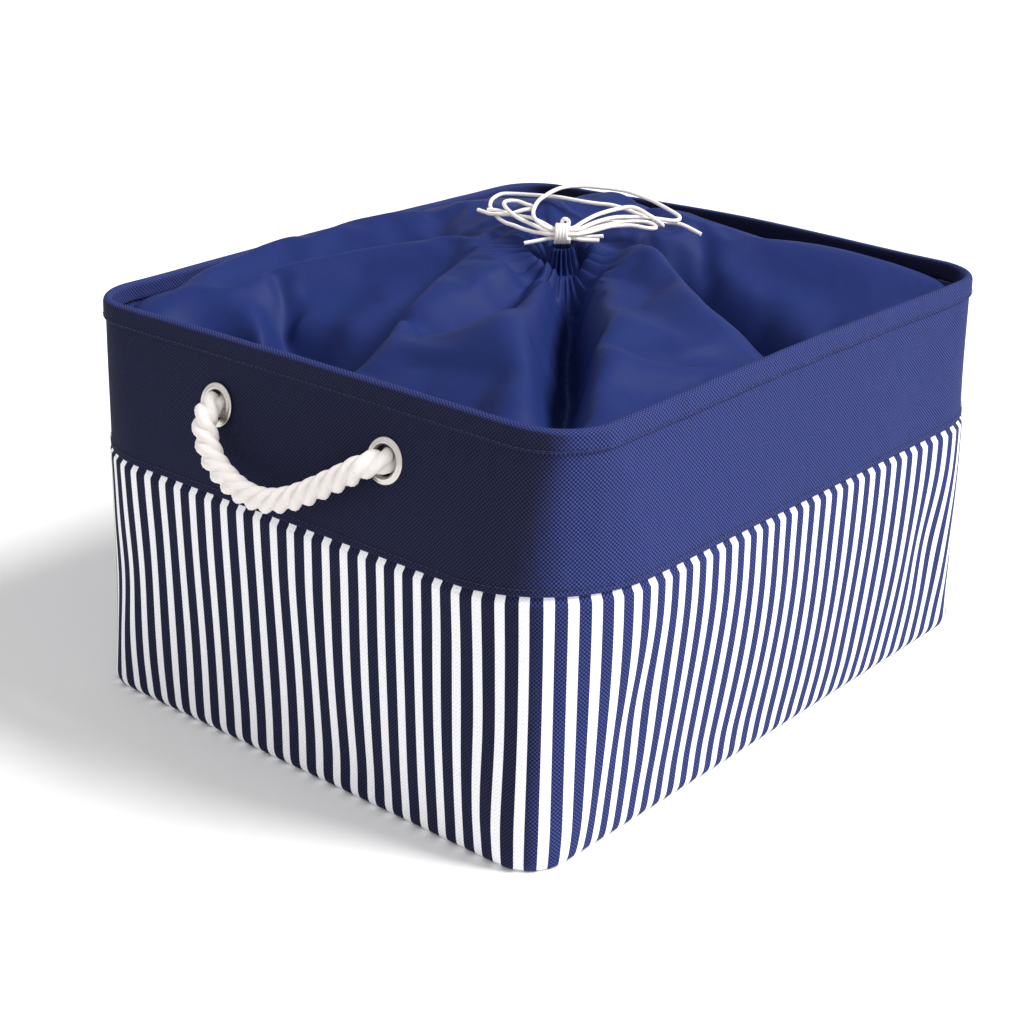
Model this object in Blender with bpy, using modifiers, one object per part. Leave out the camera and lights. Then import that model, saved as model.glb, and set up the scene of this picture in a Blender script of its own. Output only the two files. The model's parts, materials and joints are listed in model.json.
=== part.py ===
"""Soft storage bin: striped canvas walls, navy band, rope handles and a drawstring cover.

Metres, +Z up. The origin is the middle of the underside. The short faces with the rope
handles look along +X and -X. Run with: blender --background --python part.py
"""
import math

import bpy
from mathutils import Matrix, Vector

# Overall form, as outer half sizes and corner radii at three heights
HEIGHT = 0.241
SEAM_HEIGHT = 0.154
EDGE_HEIGHT = 0.009
BASE_HALF_X, BASE_HALF_Y, BASE_RADIUS = 0.2158, 0.1785, 0.026
SEAM_HALF_X, SEAM_HALF_Y, SEAM_RADIUS = 0.2175, 0.1955, 0.074
RIM_HALF_X, RIM_HALF_Y, RIM_RADIUS = 0.2000, 0.1875, 0.034
EDGE_TUCK = 0.005
LEAN_POWER = 1.25
CORNER_STEPS = 6
SIDE_STEPS = 4

# Cloth and board thicknesses, and the gap left between touching pieces
GAP = 0.0003
PANEL_THICKNESS = 0.0020
BAND_THICKNESS = 0.0018
HEM_THICKNESS = 0.0010
COVER_THICKNESS = 0.0009
BOTTOM_THICKNESS = 0.0018
BOARD_THICKNESS = 0.0030
LINING_THICKNESS = 0.0008

# Hem over the rim wire
HEM_DEPTH = 0.012
HEM_WIDTH = 0.0057
WIRE_DIAMETER = 0.0030

# Drawstring cover
COVER_EDGE_TOP = 0.2286
COVER_RISE = 0.0240
COVER_LOBE = 0.0050
NECK_RADIUS = 0.0205
COVER_STATIONS = (0.0, 0.06, 0.15, 0.28, 0.43, 0.58, 0.72, 0.84, 0.93, 1.0)

# Gathered mouth and drawstring
NECK_PLACE = (0.0098, -0.0043)
CASING_BOTTOM = 0.2490
CASING_TOP = 0.2625
CASING_RADIUS = 0.0190
THROAT_RADIUS = 0.0080
CORD_DIAMETER = 0.0024
CORD_RING_RADIUS = 0.0125
KNOT_HEIGHT = 0.2692
KNOT_HALF = (0.0046, 0.0053, 0.0056)
BOW_TURN = math.radians(-48.6)

# Eyelets and rope handles
EYELET_SPACING = 0.130
EYELET_SHIFT = -0.0058
EYELET_HEIGHT = 0.2040
EYELET_STANDOFF = 0.0007
ROPE_DIAMETER = 0.0140
HINGE_OFFSET = 0.0110
STUB_OUT = 0.0035
HANG_ANGLE = math.radians(22.0)

# Handle centreline in its own plane: (along the wall, down from the pivot), in metres
HANDLE_ROUTE = (
    (0.0650, 0.0000), (0.0652, 0.0075), (0.0605, 0.0150), (0.0525, 0.0215), (0.0440, 0.0273),
    (0.0340, 0.0327), (0.0230, 0.0363), (0.0110, 0.0378), (-0.0010, 0.0368), (-0.0130, 0.0330),
    (-0.0240, 0.0275), (-0.0340, 0.0213), (-0.0440, 0.0148), (-0.0530, 0.0088),
    (-0.0602, 0.0035), (-0.0650, 0.0000),
)

# Drawstring strands from the knot's centre: (right, back, up) in millimetres
BOW = {
    "drawstring_long_loop": (
        (-5.8, -3, 0), (-8, -2.5, 0), (-12, 0.5, 0), (-16, 4.5, -0.5), (-22.5, 11.5, -0.5),
        (-28, 18, 0), (-33, 24.5, 0), (-37.5, 33.5, 0.5), (-40.5, 45.5, 1), (-43, 56, 2),
        (-43, 65, 3), (-41, 73, 4), (-36, 78.5, 5), (-29, 79, 5), (-21, 75, 5.5),
        (-10.5, 67.5, 6.5), (0, 59, 7.5), (14.5, 50, 7), (23, 47, 6.5), (31.5, 45, 6),
        (39.5, 41.5, 4.5), (46.5, 38, 2.5), (52.5, 35.5, 0.5), (58, 34, -2), (63, 33, -4.5),
        (66.5, 29.5, -6), (63.5, 26, -4), (58.5, 26.5, 1), (53, 28, 4), (49, 30.5, 6),
        (45, 32, 7.5), (40.5, 32, 8), (35.5, 30.5, 7.5), (28, 25.5, 7), (20, 20.5, 5.5),
        (12.5, 12.5, 3.5), (9, 6, 3), (7, 2.5, 2.5), (5.8, 1.6, 2.6),
    ),
    "drawstring_left_loop": (
        (-5.8, 0, 0), (-7.5, 0.5, 0), (-10.5, 4, 0.5), (-14.5, 9, 1.5), (-20, 15.5, 2.5),
        (-25, 21, 3.5), (-29, 26, 5), (-32.5, 32.5, 6.5), (-34.5, 40, 7.5), (-34.5, 47, 8),
        (-31, 51.5, 8), (-26, 49.5, 7.5), (-20.5, 44.5, 6.5), (-15.5, 41.5, 6), (-12.5, 38, 6),
        (-14, 34.5, 6), (-18.5, 32.5, 6.5), (-22.5, 31.5, 6.5), (-27, 31.5, 5), (-32, 32, 3.5),
        (-37.5, 33, 3.5), (-43, 37.5, 2.5), (-50.5, 47.5, 2.5),
    ),
    "drawstring_high_arc": (
        (-5.8, -1.6, 2.6), (-7.5, -1.3, 3), (-10, 0.5, 3.5), (-13, 4.5, 4.5), (-16, 11, 6),
        (-17, 19.5, 7.5), (-16, 28, 9), (-13.5, 38, 10.5), (-9.5, 48, 11), (-5, 57.5, 11.5),
        (0.5, 67, 11.5), (7, 73.5, 11), (15, 76, 10.5), (24, 75, 10), (33, 73, 9.5),
        (42, 70.5, 8.5), (50, 64.5, 7), (57, 58.5, 5.5), (63.5, 51.5, 3.5), (69.5, 44.5, 1.5),
        (73.5, 39.5, 0), (74.5, 35.5, -1), (70.5, 32.5, -1), (64, 32, 0), (53.5, 31.5, 1.5),
        (43, 29.5, 2.5), (32.5, 26.5, 3), (24.5, 21.5, 2.5), (17, 13.5, 2), (12.5, 5.5, 2),
        (9, -0.5, 2.5), (7.5, -1.4, 2.5), (5.8, -1.6, 2.6),
    ),
    "drawstring_right_loop": (
        (5.8, 0, 0), (7.5, 0.2, 0), (10, 2.5, -0.5), (13.5, 7.5, -1), (20, 14, -0.5),
        (28, 20, 0), (36, 24.5, 0.5), (45.5, 26.5, 0.5), (53.5, 25.5, 0), (59.5, 22.5, -1.5),
        (62, 18.5, -3), (58.5, 15.5, -2.5), (50, 17, -1), (42.5, 18.5, 0), (35, 18, 0),
        (28.5, 15.5, 0), (22, 11, -0.5), (16.5, 5.5, -0.5), (12.5, 0.5, 0), (9, -2.5, 0),
        (7.5, -3, 0), (5.8, -3, 0),
    ),
    "drawstring_far_right_tail": (
        (5.8, 2.9, 0), (7, 4.2, 0), (8.5, 8, -1), (11.5, 13.5, -1.5), (18.5, 21, -1),
        (27, 27, -0.5), (36, 32, -1), (45, 34.5, -2), (54, 37, -2.5), (62.5, 38, -3),
        (70, 38.5, -3.5), (76, 37, -5), (85.5, 32.5, -9),
    ),
    "drawstring_upper_right_tail": (
        (5.8, 1.4, -2.5), (10, 3.5, -3.5), (15, 4.5, -3.5), (24.5, 3, -2.5),
    ),
    "drawstring_lower_right_tail": ((5.8, -1.4, -2.5), (12, -1.5, -3.5), (22, -1.5, -4)),
    "drawstring_left_tail": ((-5.8, -1.4, -2.5), (-12.5, -2.5, -3.5), (-22.5, -4, -5)),
    "drawstring_far_left_tail": (
        (-5.8, 1.6, 2.6), (-7, 2.8, 3), (-9.5, 7, 3.5), (-13.5, 13.5, 4), (-18.5, 21.5, 4),
        (-23, 28, 3), (-26, 32, 2.5), (-31, 35.5, 2.5), (-37.5, 39, 4), (-44.5, 44, 3.5),
    ),
}
MILLIMETRE = 0.001


def clear_scene():
    for item in list(bpy.data.objects):
        bpy.data.objects.remove(item, do_unlink=True)


def new_collection(name):
    group = bpy.data.collections.new(name)
    bpy.context.scene.collection.children.link(group)
    return group


clear_scene()
PARTS = new_collection("fabric_storage_bin")
CUTTERS = new_collection("cutters")


def material(name, color, roughness, metallic=0.0):
    made = bpy.data.materials.new(name)
    made.use_nodes = True
    shader = made.node_tree.nodes["Principled BSDF"]
    shader.inputs["Base Color"].default_value = (*color, 1.0)
    shader.inputs["Roughness"].default_value = roughness
    shader.inputs["Metallic"].default_value = metallic
    return made


NAVY = (0.030, 0.040, 0.160)
ROYAL = (0.035, 0.065, 0.270)
CREAM = (0.850, 0.800, 0.740)
NICKEL = (0.620, 0.590, 0.560)


def place(name, data, look):
    made = bpy.data.objects.new(name, data)
    data.materials.append(look)
    PARTS.objects.link(made)
    return made


# Outlines -------------------------------------------------------------------

def outline(half_x, half_y, radius):
    """A rounded rectangle, anticlockwise, with the same number of points at any size."""
    corners = ((1, -1, -90), (1, 1, 0), (-1, 1, 90), (-1, -1, 180))
    arcs = []
    for sign_x, sign_y, start in corners:
        centre_x = sign_x * (half_x - radius)
        centre_y = sign_y * (half_y - radius)
        arc = []
        for step in range(CORNER_STEPS + 1):
            angle = math.radians(start + 90.0 * step / CORNER_STEPS)
            arc.append((centre_x + radius * math.cos(angle), centre_y + radius * math.sin(angle)))
        arcs.append(arc)
    points = []
    for index, arc in enumerate(arcs):
        points.extend(arc)
        following = arcs[(index + 1) % len(arcs)][0]
        for step in range(1, SIDE_STEPS):
            share = step / SIDE_STEPS
            points.append((arc[-1][0] * (1 - share) + following[0] * share,
                           arc[-1][1] * (1 - share) + following[1] * share))
    return points


def section(height):
    """Outer half sizes and corner radius of the bin at a height."""
    base = (BASE_HALF_X, BASE_HALF_Y, BASE_RADIUS)
    seam = (SEAM_HALF_X, SEAM_HALF_Y, SEAM_RADIUS)
    rim = (RIM_HALF_X, RIM_HALF_Y, RIM_RADIUS)
    if height >= SEAM_HEIGHT:
        share = ((height - SEAM_HEIGHT) / (HEIGHT - SEAM_HEIGHT)) ** LEAN_POWER
        return [a + (b - a) * share for a, b in zip(seam, rim)]
    share = math.sin(0.5 * math.pi * height / SEAM_HEIGHT)
    sizes = [a + (b - a) * share for a, b in zip(base, seam)]
    if height < EDGE_HEIGHT:
        drop = 1.0 - height / EDGE_HEIGHT
        tuck = EDGE_TUCK * (1.0 - math.sqrt(1.0 - drop * drop))
        sizes = [sizes[0] - tuck, sizes[1] - tuck, sizes[2] - tuck]
    return sizes


def wall_ring(height, inset):
    half_x, half_y, radius = section(height)
    return [(x, y, height) for x, y in outline(half_x - inset, half_y - inset, radius - inset)]


def ring_loft(name, rings, look):
    """A closed skin over rings whose last ring joins the first one again."""
    count = len(rings[0])
    vertices = [point for ring in rings for point in ring]
    faces = []
    for level in range(len(rings)):
        low = level * count
        high = ((level + 1) % len(rings)) * count
        for step in range(count):
            following = (step + 1) % count
            faces.append((low + step, low + following, high + following, high + step))
    mesh = bpy.data.meshes.new(name)
    mesh.from_pydata(vertices, [], faces)
    mesh.update()
    mesh.shade_smooth()
    mesh.set_sharp_from_angle(angle=math.radians(40))
    return place(name, mesh, look)


def wall(name, heights, inset, thickness, look):
    outer = [wall_ring(height, inset) for height in heights]
    inner = [wall_ring(height, inset + thickness) for height in reversed(heights)]
    return ring_loft(name, outer + inner, look)


def plate(name, points, bottom, thickness, look):
    """A flat outline with its thickness, as a filled 2D curve."""
    curve = bpy.data.curves.new(name, "CURVE")
    curve.dimensions = "2D"
    curve.fill_mode = "BOTH"
    curve.extrude = thickness / 2
    spline = curve.splines.new("POLY")
    spline.points.add(len(points) - 1)
    for target, (x, y) in zip(spline.points, points):
        target.co = (x, y, 0.0, 1.0)
    spline.use_cyclic_u = True
    made = place(name, curve, look)
    made.location.z = bottom + thickness / 2
    return made


def tube(name, points, diameter, look, closed=False, resolution=2):
    curve = bpy.data.curves.new(name, "CURVE")
    curve.dimensions = "3D"
    curve.bevel_depth = diameter / 2
    curve.bevel_resolution = resolution
    curve.use_fill_caps = not closed
    spline = curve.splines.new("POLY")
    spline.points.add(len(points) - 1)
    for target, point in zip(spline.points, points):
        target.co = (*point, 1.0)
    spline.use_cyclic_u = closed
    return place(name, curve, look)


def turned(name, profile, steps, look, closed):
    """A profile of (radius, height) turned once round the local Z axis."""
    mesh = bpy.data.meshes.new(name)
    edges = [(index, index + 1) for index in range(len(profile) - 1)]
    if closed:
        edges.append((len(profile) - 1, 0))
    mesh.from_pydata([(radius, 0.0, height) for radius, height in profile], edges, [])
    made = place(name, mesh, look)
    screw = made.modifiers.new("Turn", "SCREW")
    screw.axis = "Z"
    screw.angle = math.tau
    screw.steps = steps
    screw.render_steps = steps
    screw.use_merge_vertices = True
    screw.merge_threshold = 0.00001
    screw.use_smooth_shade = True
    return made


def smooth_route(points, spacing):
    """Points a set distance apart on a smooth curve through the route's own points."""
    knots = [Vector(point) for point in points]
    knots.insert(0, knots[0] * 2 - knots[1])
    knots.append(knots[-1] * 2 - knots[-2])
    fine = []
    samples = 24
    for index in range(1, len(knots) - 2):
        a, b, c, d = knots[index - 1:index + 3]
        for step in range(samples):
            t = step / samples
            fine.append(0.5 * (2 * b + (c - a) * t + (2 * a - 5 * b + 4 * c - d) * t * t
                               + (3 * b - a - 3 * c + d) * t * t * t))
    fine.append(knots[-2].copy())
    travelled = [0.0]
    for before, after in zip(fine, fine[1:]):
        travelled.append(travelled[-1] + (after - before).length)
    count = max(3, round(travelled[-1] / spacing))
    result = []
    cursor = 0
    for step in range(count + 1):
        target = travelled[-1] * step / count
        while cursor < len(fine) - 2 and travelled[cursor + 1] < target:
            cursor += 1
        stretch = travelled[cursor + 1] - travelled[cursor]
        share = (target - travelled[cursor]) / stretch if stretch > 0 else 0.0
        result.append(fine[cursor].lerp(fine[cursor + 1], min(1.0, share)))
    return result


# Base -----------------------------------------------------------------------

def build_base():
    inner = EDGE_TUCK + PANEL_THICKNESS + GAP
    bottom = outline(BASE_HALF_X - inner, BASE_HALF_Y - inner, BASE_RADIUS - inner)
    plate("bottom_fabric", bottom, 0.0, BOTTOM_THICKNESS, material("bottom_fabric", NAVY, 0.85))
    board_bottom = BOTTOM_THICKNESS + GAP
    plate("base_board", bottom, board_bottom, BOARD_THICKNESS,
          material("base_board", (0.55, 0.47, 0.36), 0.8))
    plate("floor_lining", bottom, board_bottom + BOARD_THICKNESS + GAP, LINING_THICKNESS,
          material("floor_lining", (0.72, 0.73, 0.76), 0.55))


def build_striped_panel():
    heights = (0.0, 0.0025, 0.0055, EDGE_HEIGHT, 0.035, 0.070, 0.110, SEAM_HEIGHT - GAP)
    wall("striped_lower_panel", heights, 0.0, PANEL_THICKNESS,
         material("striped_canvas", (0.62, 0.63, 0.72), 0.85))


# Rim ------------------------------------------------------------------------

def eyelet_frames():
    """Name, side and placing of each eyelet: its local Z points out of the leaning wall."""
    step = 0.001
    half_x = section(EYELET_HEIGHT)[0] - HEM_THICKNESS - GAP
    lean = math.atan2(section(EYELET_HEIGHT - step)[0] - section(EYELET_HEIGHT + step)[0], 2 * step)
    frames = []
    for side_name, side in (("left", -1), ("right", 1)):
        for end_name, end in (("front", -1), ("back", 1)):
            turn = Matrix.Rotation(side * (math.pi / 2 - lean), 4, "Y")
            spot = Vector((side * half_x, EYELET_SHIFT + end * EYELET_SPACING / 2, EYELET_HEIGHT))
            frames.append((f"{side_name}_{end_name}", side, Matrix.Translation(spot) @ turn))
    return frames


def build_band():
    heights = (SEAM_HEIGHT, 0.170, 0.186, 0.2015, 0.217, 0.2325)
    inset = HEM_THICKNESS + GAP
    band = wall("navy_upper_band", heights, inset, BAND_THICKNESS, material("navy_canvas", NAVY, 0.8))
    hole_radius = 0.0092
    hole_length = 0.016
    for name, _, frame in eyelet_frames():
        bpy.ops.mesh.primitive_cylinder_add(vertices=24, radius=hole_radius, depth=hole_length)
        cutter = bpy.context.object
        cutter.name = f"hole_{name}"
        cutter.matrix_world = frame
        cutter.hide_render = True
        cutter.display_type = "WIRE"
        for group in list(cutter.users_collection):
            group.objects.unlink(cutter)
        CUTTERS.objects.link(cutter)
        cut = band.modifiers.new(f"Hole {name}", "BOOLEAN")
        cut.operation = "DIFFERENCE"
        cut.solver = "EXACT"
        cut.object = cutter


def build_hem():
    """One strip folded down over the rim wire, open at its lower edges."""
    foot = HEIGHT - HEM_DEPTH
    shoulder = HEIGHT - 0.0014
    crown = HEM_WIDTH / 2
    roof = shoulder - HEM_THICKNESS
    levels = [
        (foot, 0.0), (shoulder - 0.003, 0.0), (shoulder, 0.0004), (HEIGHT - 0.0004, 0.0014),
        (HEIGHT, crown), (HEIGHT - 0.0004, HEM_WIDTH - 0.0014), (shoulder, HEM_WIDTH - 0.0004),
        (shoulder - 0.003, HEM_WIDTH), (foot, HEM_WIDTH), (foot, HEM_WIDTH - HEM_THICKNESS),
        (roof, HEM_WIDTH - HEM_THICKNESS - 0.0004), (roof + 0.0008, crown),
        (roof, HEM_THICKNESS + 0.0004), (foot, HEM_THICKNESS),
    ]
    rings = []
    for height, inset in levels:
        rim_x, rim_y, rim_radius = section(height)
        points = outline(rim_x - inset, rim_y - inset, rim_radius - inset)
        rings.append([(x, y, height) for x, y in points])
    ring_loft("rim_hem", rings, material("hem_canvas", NAVY, 0.8))


def build_rim_wire():
    inset = HEM_WIDTH / 2
    height = HEIGHT - 0.0044
    half_x, half_y, radius = section(height)
    points = [(x, y, height) for x, y in outline(half_x - inset, half_y - inset, radius - inset)]
    tube("rim_wire", points, WIRE_DIAMETER, material("rim_wire", (0.6, 0.6, 0.62), 0.3, 1.0), closed=True)


def cover_ring(share, lift):
    """A ring of the cover, from the hem's inner edge (0) to the gathered neck (1)."""
    inset = HEM_WIDTH + GAP
    half_x, half_y, radius = section(COVER_EDGE_TOP)
    edge = outline(half_x - inset, half_y - inset, radius - inset)
    ring = []
    for x, y in edge:
        angle = math.atan2(y / half_y, x / half_x)
        neck_x = NECK_PLACE[0] + NECK_RADIUS * math.cos(angle)
        neck_y = NECK_PLACE[1] + NECK_RADIUS * math.sin(angle)
        rise = COVER_RISE * share * share * (3 - 2 * share)
        lobe = COVER_LOBE * math.sin(math.pi * share) ** 2 * math.cos(4 * angle)
        height = COVER_EDGE_TOP + rise + lobe - lift
        ring.append((x + (neck_x - x) * share, y + (neck_y - y) * share, height))
    return ring


def build_cover():
    top = [cover_ring(share, 0.0) for share in COVER_STATIONS]
    under = [cover_ring(share, COVER_THICKNESS) for share in reversed(COVER_STATIONS)]
    ring_loft("cover_cloth", top + under, material("cover_cloth", ROYAL, 0.6))


def build_eyelets():
    bore, barrel, flange = 0.0082, 0.0088, 0.0126
    inner_end = -0.0042
    base = EYELET_STANDOFF
    grommet = [(flange, 0.0014), (0.0123, base), (barrel, base), (barrel, inner_end),
               (bore, inner_end), (bore, 0.0018), (0.0090, 0.0026), (0.0112, 0.0026)]
    washer_top = -BAND_THICKNESS - EYELET_STANDOFF
    washer = [(flange, washer_top), (flange, washer_top - 0.0009),
              (0.0091, washer_top - 0.0009), (0.0091, washer_top)]
    for name, _, frame in eyelet_frames():
        look = material(f"eyelet_{name}", NICKEL, 0.25, 1.0)
        turned(f"grommet_{name}", grommet, 24, look, closed=True).matrix_world = frame
        turned(f"washer_{name}", washer, 24, look, closed=True).matrix_world = frame


# Rope handles ---------------------------------------------------------------

def build_rope_ends():
    """The rope through each eyelet, with the stopper knot that holds it inside."""
    rope = ROPE_DIAMETER / 2
    profile = [(0.0, STUB_OUT), (rope, STUB_OUT), (rope, -0.0048), (0.0105, -0.0056),
               (0.0128, -0.0090), (0.0122, -0.0130), (0.0132, -0.0175), (0.0118, -0.0225),
               (0.0080, -0.0250), (rope, -0.0262), (rope, -0.0330), (0.0, -0.0330)]
    for name, _, frame in eyelet_frames():
        look = material(f"rope_end_{name}", CREAM, 0.9)
        turned(f"rope_end_{name}", profile, 16, look, closed=False).matrix_world = frame


def build_handles():
    for name, side, frame in eyelet_frames():
        if not name.endswith("front"):
            continue
        pivot = frame @ Vector((0.0, 0.0, HINGE_OFFSET))
        route = [(0.0, side * -along, -down) for along, down in HANDLE_ROUTE]
        points = smooth_route(route, 0.0085)
        side_name = name.split("_")[0]
        handle = tube(f"rope_handle_{side_name}", points, ROPE_DIAMETER,
                      material(f"rope_handle_{side_name}", CREAM, 0.9), resolution=3)
        handle.location = (pivot.x, EYELET_SHIFT, pivot.z)
        handle.rotation_euler.y = -side * HANG_ANGLE


# Gathered mouth and drawstring ------------------------------------------------

def build_casing():
    """The tunnel round the mouth, open towards the throat where the cord comes out."""
    middle = (CASING_TOP + CASING_BOTTOM) / 2
    groove = CORD_DIAMETER / 2 + 0.0006
    profile = [
        (CASING_RADIUS - 0.004, CASING_TOP), (CASING_RADIUS - 0.001, CASING_TOP - 0.003),
        (CASING_RADIUS, middle), (CASING_RADIUS - 0.001, CASING_BOTTOM + 0.003),
        (CASING_RADIUS - 0.004, CASING_BOTTOM), (THROAT_RADIUS + 0.001, CASING_BOTTOM),
        (THROAT_RADIUS, middle - groove), (CASING_RADIUS - 0.0035, middle - groove),
        (CASING_RADIUS - 0.0035, middle + groove), (THROAT_RADIUS, middle + groove),
        (THROAT_RADIUS + 0.001, CASING_TOP),
    ]
    casing = turned("mouth_casing", profile, 32, material("mouth_casing", ROYAL, 0.6), closed=True)
    casing.location = (*NECK_PLACE, 0.0)
    ring = []
    count = 28
    for step in range(count):
        angle = math.tau * step / count
        ring.append((CORD_RING_RADIUS * math.cos(angle), CORD_RING_RADIUS * math.sin(angle), middle))
    cord = tube("drawstring_in_casing", ring, CORD_DIAMETER, material("drawstring", CREAM, 0.8), closed=True)
    cord.location = (*NECK_PLACE, 0.0)


def build_bow():
    bpy.ops.mesh.primitive_cube_add(size=1.0)
    knot = bpy.context.object
    for group in list(knot.users_collection):
        group.objects.unlink(knot)
    PARTS.objects.link(knot)
    knot.name = "drawstring_knot"
    knot.data.name = "drawstring_knot"
    knot.data.transform(Matrix.Diagonal((*[2 * half for half in KNOT_HALF], 1.0)))
    knot.data.materials.append(material("drawstring_knot", CREAM, 0.8))
    bevel = knot.modifiers.new("Bevel", "BEVEL")
    bevel.width = 0.0012
    bevel.segments = 2
    knot.location = (*NECK_PLACE, KNOT_HEIGHT)
    knot.rotation_euler.z = BOW_TURN
    for name, route in BOW.items():
        points = smooth_route([Vector(point) * MILLIMETRE for point in route], 3.2 * CORD_DIAMETER)
        strand = tube(name, points, CORD_DIAMETER, material(name, CREAM, 0.8))
        strand.location = (*NECK_PLACE, KNOT_HEIGHT)
        strand.rotation_euler.z = BOW_TURN


build_base()
build_striped_panel()
build_band()
build_hem()
build_rim_wire()
build_cover()
build_eyelets()
build_rope_ends()
build_handles()
build_casing()
build_bow()
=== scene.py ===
"""Looks of the striped storage bin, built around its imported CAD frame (metres, +Z up).

The bin is sewn canvas: a striped wall, a navy band with a wired hem, a thin gathered cover,
cotton rope handles through nickel eyelets, and a cotton drawstring bundled on top.
"""
import json
import math

import bmesh
import bpy
import numpy as np
from mathutils import Matrix, Vector


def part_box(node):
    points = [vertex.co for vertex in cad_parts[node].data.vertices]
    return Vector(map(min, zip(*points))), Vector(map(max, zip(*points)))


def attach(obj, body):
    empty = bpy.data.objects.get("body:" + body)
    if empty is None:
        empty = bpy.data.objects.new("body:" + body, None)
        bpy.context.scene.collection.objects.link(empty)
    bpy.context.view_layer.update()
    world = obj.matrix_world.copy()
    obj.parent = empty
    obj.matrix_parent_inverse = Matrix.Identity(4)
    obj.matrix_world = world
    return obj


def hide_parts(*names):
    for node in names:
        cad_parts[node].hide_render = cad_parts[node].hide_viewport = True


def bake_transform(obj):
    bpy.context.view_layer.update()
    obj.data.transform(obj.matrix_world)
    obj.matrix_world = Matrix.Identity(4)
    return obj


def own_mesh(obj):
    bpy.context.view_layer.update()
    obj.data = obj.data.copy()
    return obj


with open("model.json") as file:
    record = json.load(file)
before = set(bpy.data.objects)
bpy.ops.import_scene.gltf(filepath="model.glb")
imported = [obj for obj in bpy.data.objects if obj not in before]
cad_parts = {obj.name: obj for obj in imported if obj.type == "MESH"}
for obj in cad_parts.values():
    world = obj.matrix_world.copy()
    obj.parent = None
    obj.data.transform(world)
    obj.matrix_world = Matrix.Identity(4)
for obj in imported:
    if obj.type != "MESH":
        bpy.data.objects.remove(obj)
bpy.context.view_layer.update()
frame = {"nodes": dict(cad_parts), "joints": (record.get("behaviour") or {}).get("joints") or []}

# Sizes read from the frame
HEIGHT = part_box("rim_hem")[1].z
SEAM_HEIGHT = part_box("navy_upper_band")[0].z
HEM_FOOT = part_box("rim_hem")[0].z
FLOOR_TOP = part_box("floor_lining")[1].z
CASING_LOW, CASING_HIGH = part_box("mouth_casing")
KNOT_LOW, KNOT_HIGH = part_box("drawstring_knot")
JOINTS = {joint["name"]: joint for joint in frame["joints"]}
PIVOT = Vector(JOINTS["right_handle_swing"]["pos_m"])

# Outer half sizes and corner radii of the cloth body, as in the CAD
BASE_SIZE = (0.2158, 0.1785, 0.026)
SEAM_SIZE = (0.2175, 0.1955, 0.074)
RIM_SIZE = (0.2000, 0.1875, 0.034)
EDGE_HEIGHT = 0.009
EDGE_TUCK = 0.005
LEAN_POWER = 1.25
HEM_WIDTH = 0.0057
BAND_INSET = 0.0013
PANEL_THICKNESS = 0.0020
BAND_THICKNESS = 0.0018
PERIMETER = 1.525
STITCHES = 420
# Middle of each bow of the wired rim, as a share of the way round, and how far it rises
RIM_BOWS = ((0.0, 0.0015), (0.25, 0.0005), (0.5, 0.0018), (0.75, 0.0035))

# Eyelets and rope
EYELET_SPACING = 0.130
EYELET_SHIFT = -0.0058
EYELET_HEIGHT = 0.2040
HOLE_RADIUS = 0.0086
ROPE_DIAMETER = 0.0140
ROPE_LAY = 0.031
HANG_ANGLE = math.radians(22.0)
# The hanging loop from eyelet to eyelet: (along the wall from the middle, down)
HANDLE_ROUTE = (
    (0.0650, 0.0000), (0.0606, 0.0072), (0.0572, 0.0142), (0.0520, 0.0212), (0.0440, 0.0278),
    (0.0340, 0.0327), (0.0230, 0.0363), (0.0110, 0.0378), (-0.0010, 0.0368), (-0.0130, 0.0330),
    (-0.0240, 0.0275), (-0.0340, 0.0213), (-0.0440, 0.0148), (-0.0530, 0.0088),
    (-0.0602, 0.0035), (-0.0650, 0.0000),
)

# Drawstring
CORD_DIAMETER = 0.0024
KNOT_CENTRE = (KNOT_LOW + KNOT_HIGH) / 2
NECK = ((CASING_LOW.x + CASING_HIGH.x) / 2, (CASING_LOW.y + CASING_HIGH.y) / 2)
BOW_TURN = math.radians(-48.6)
MILLIMETRE = 0.001
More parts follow.
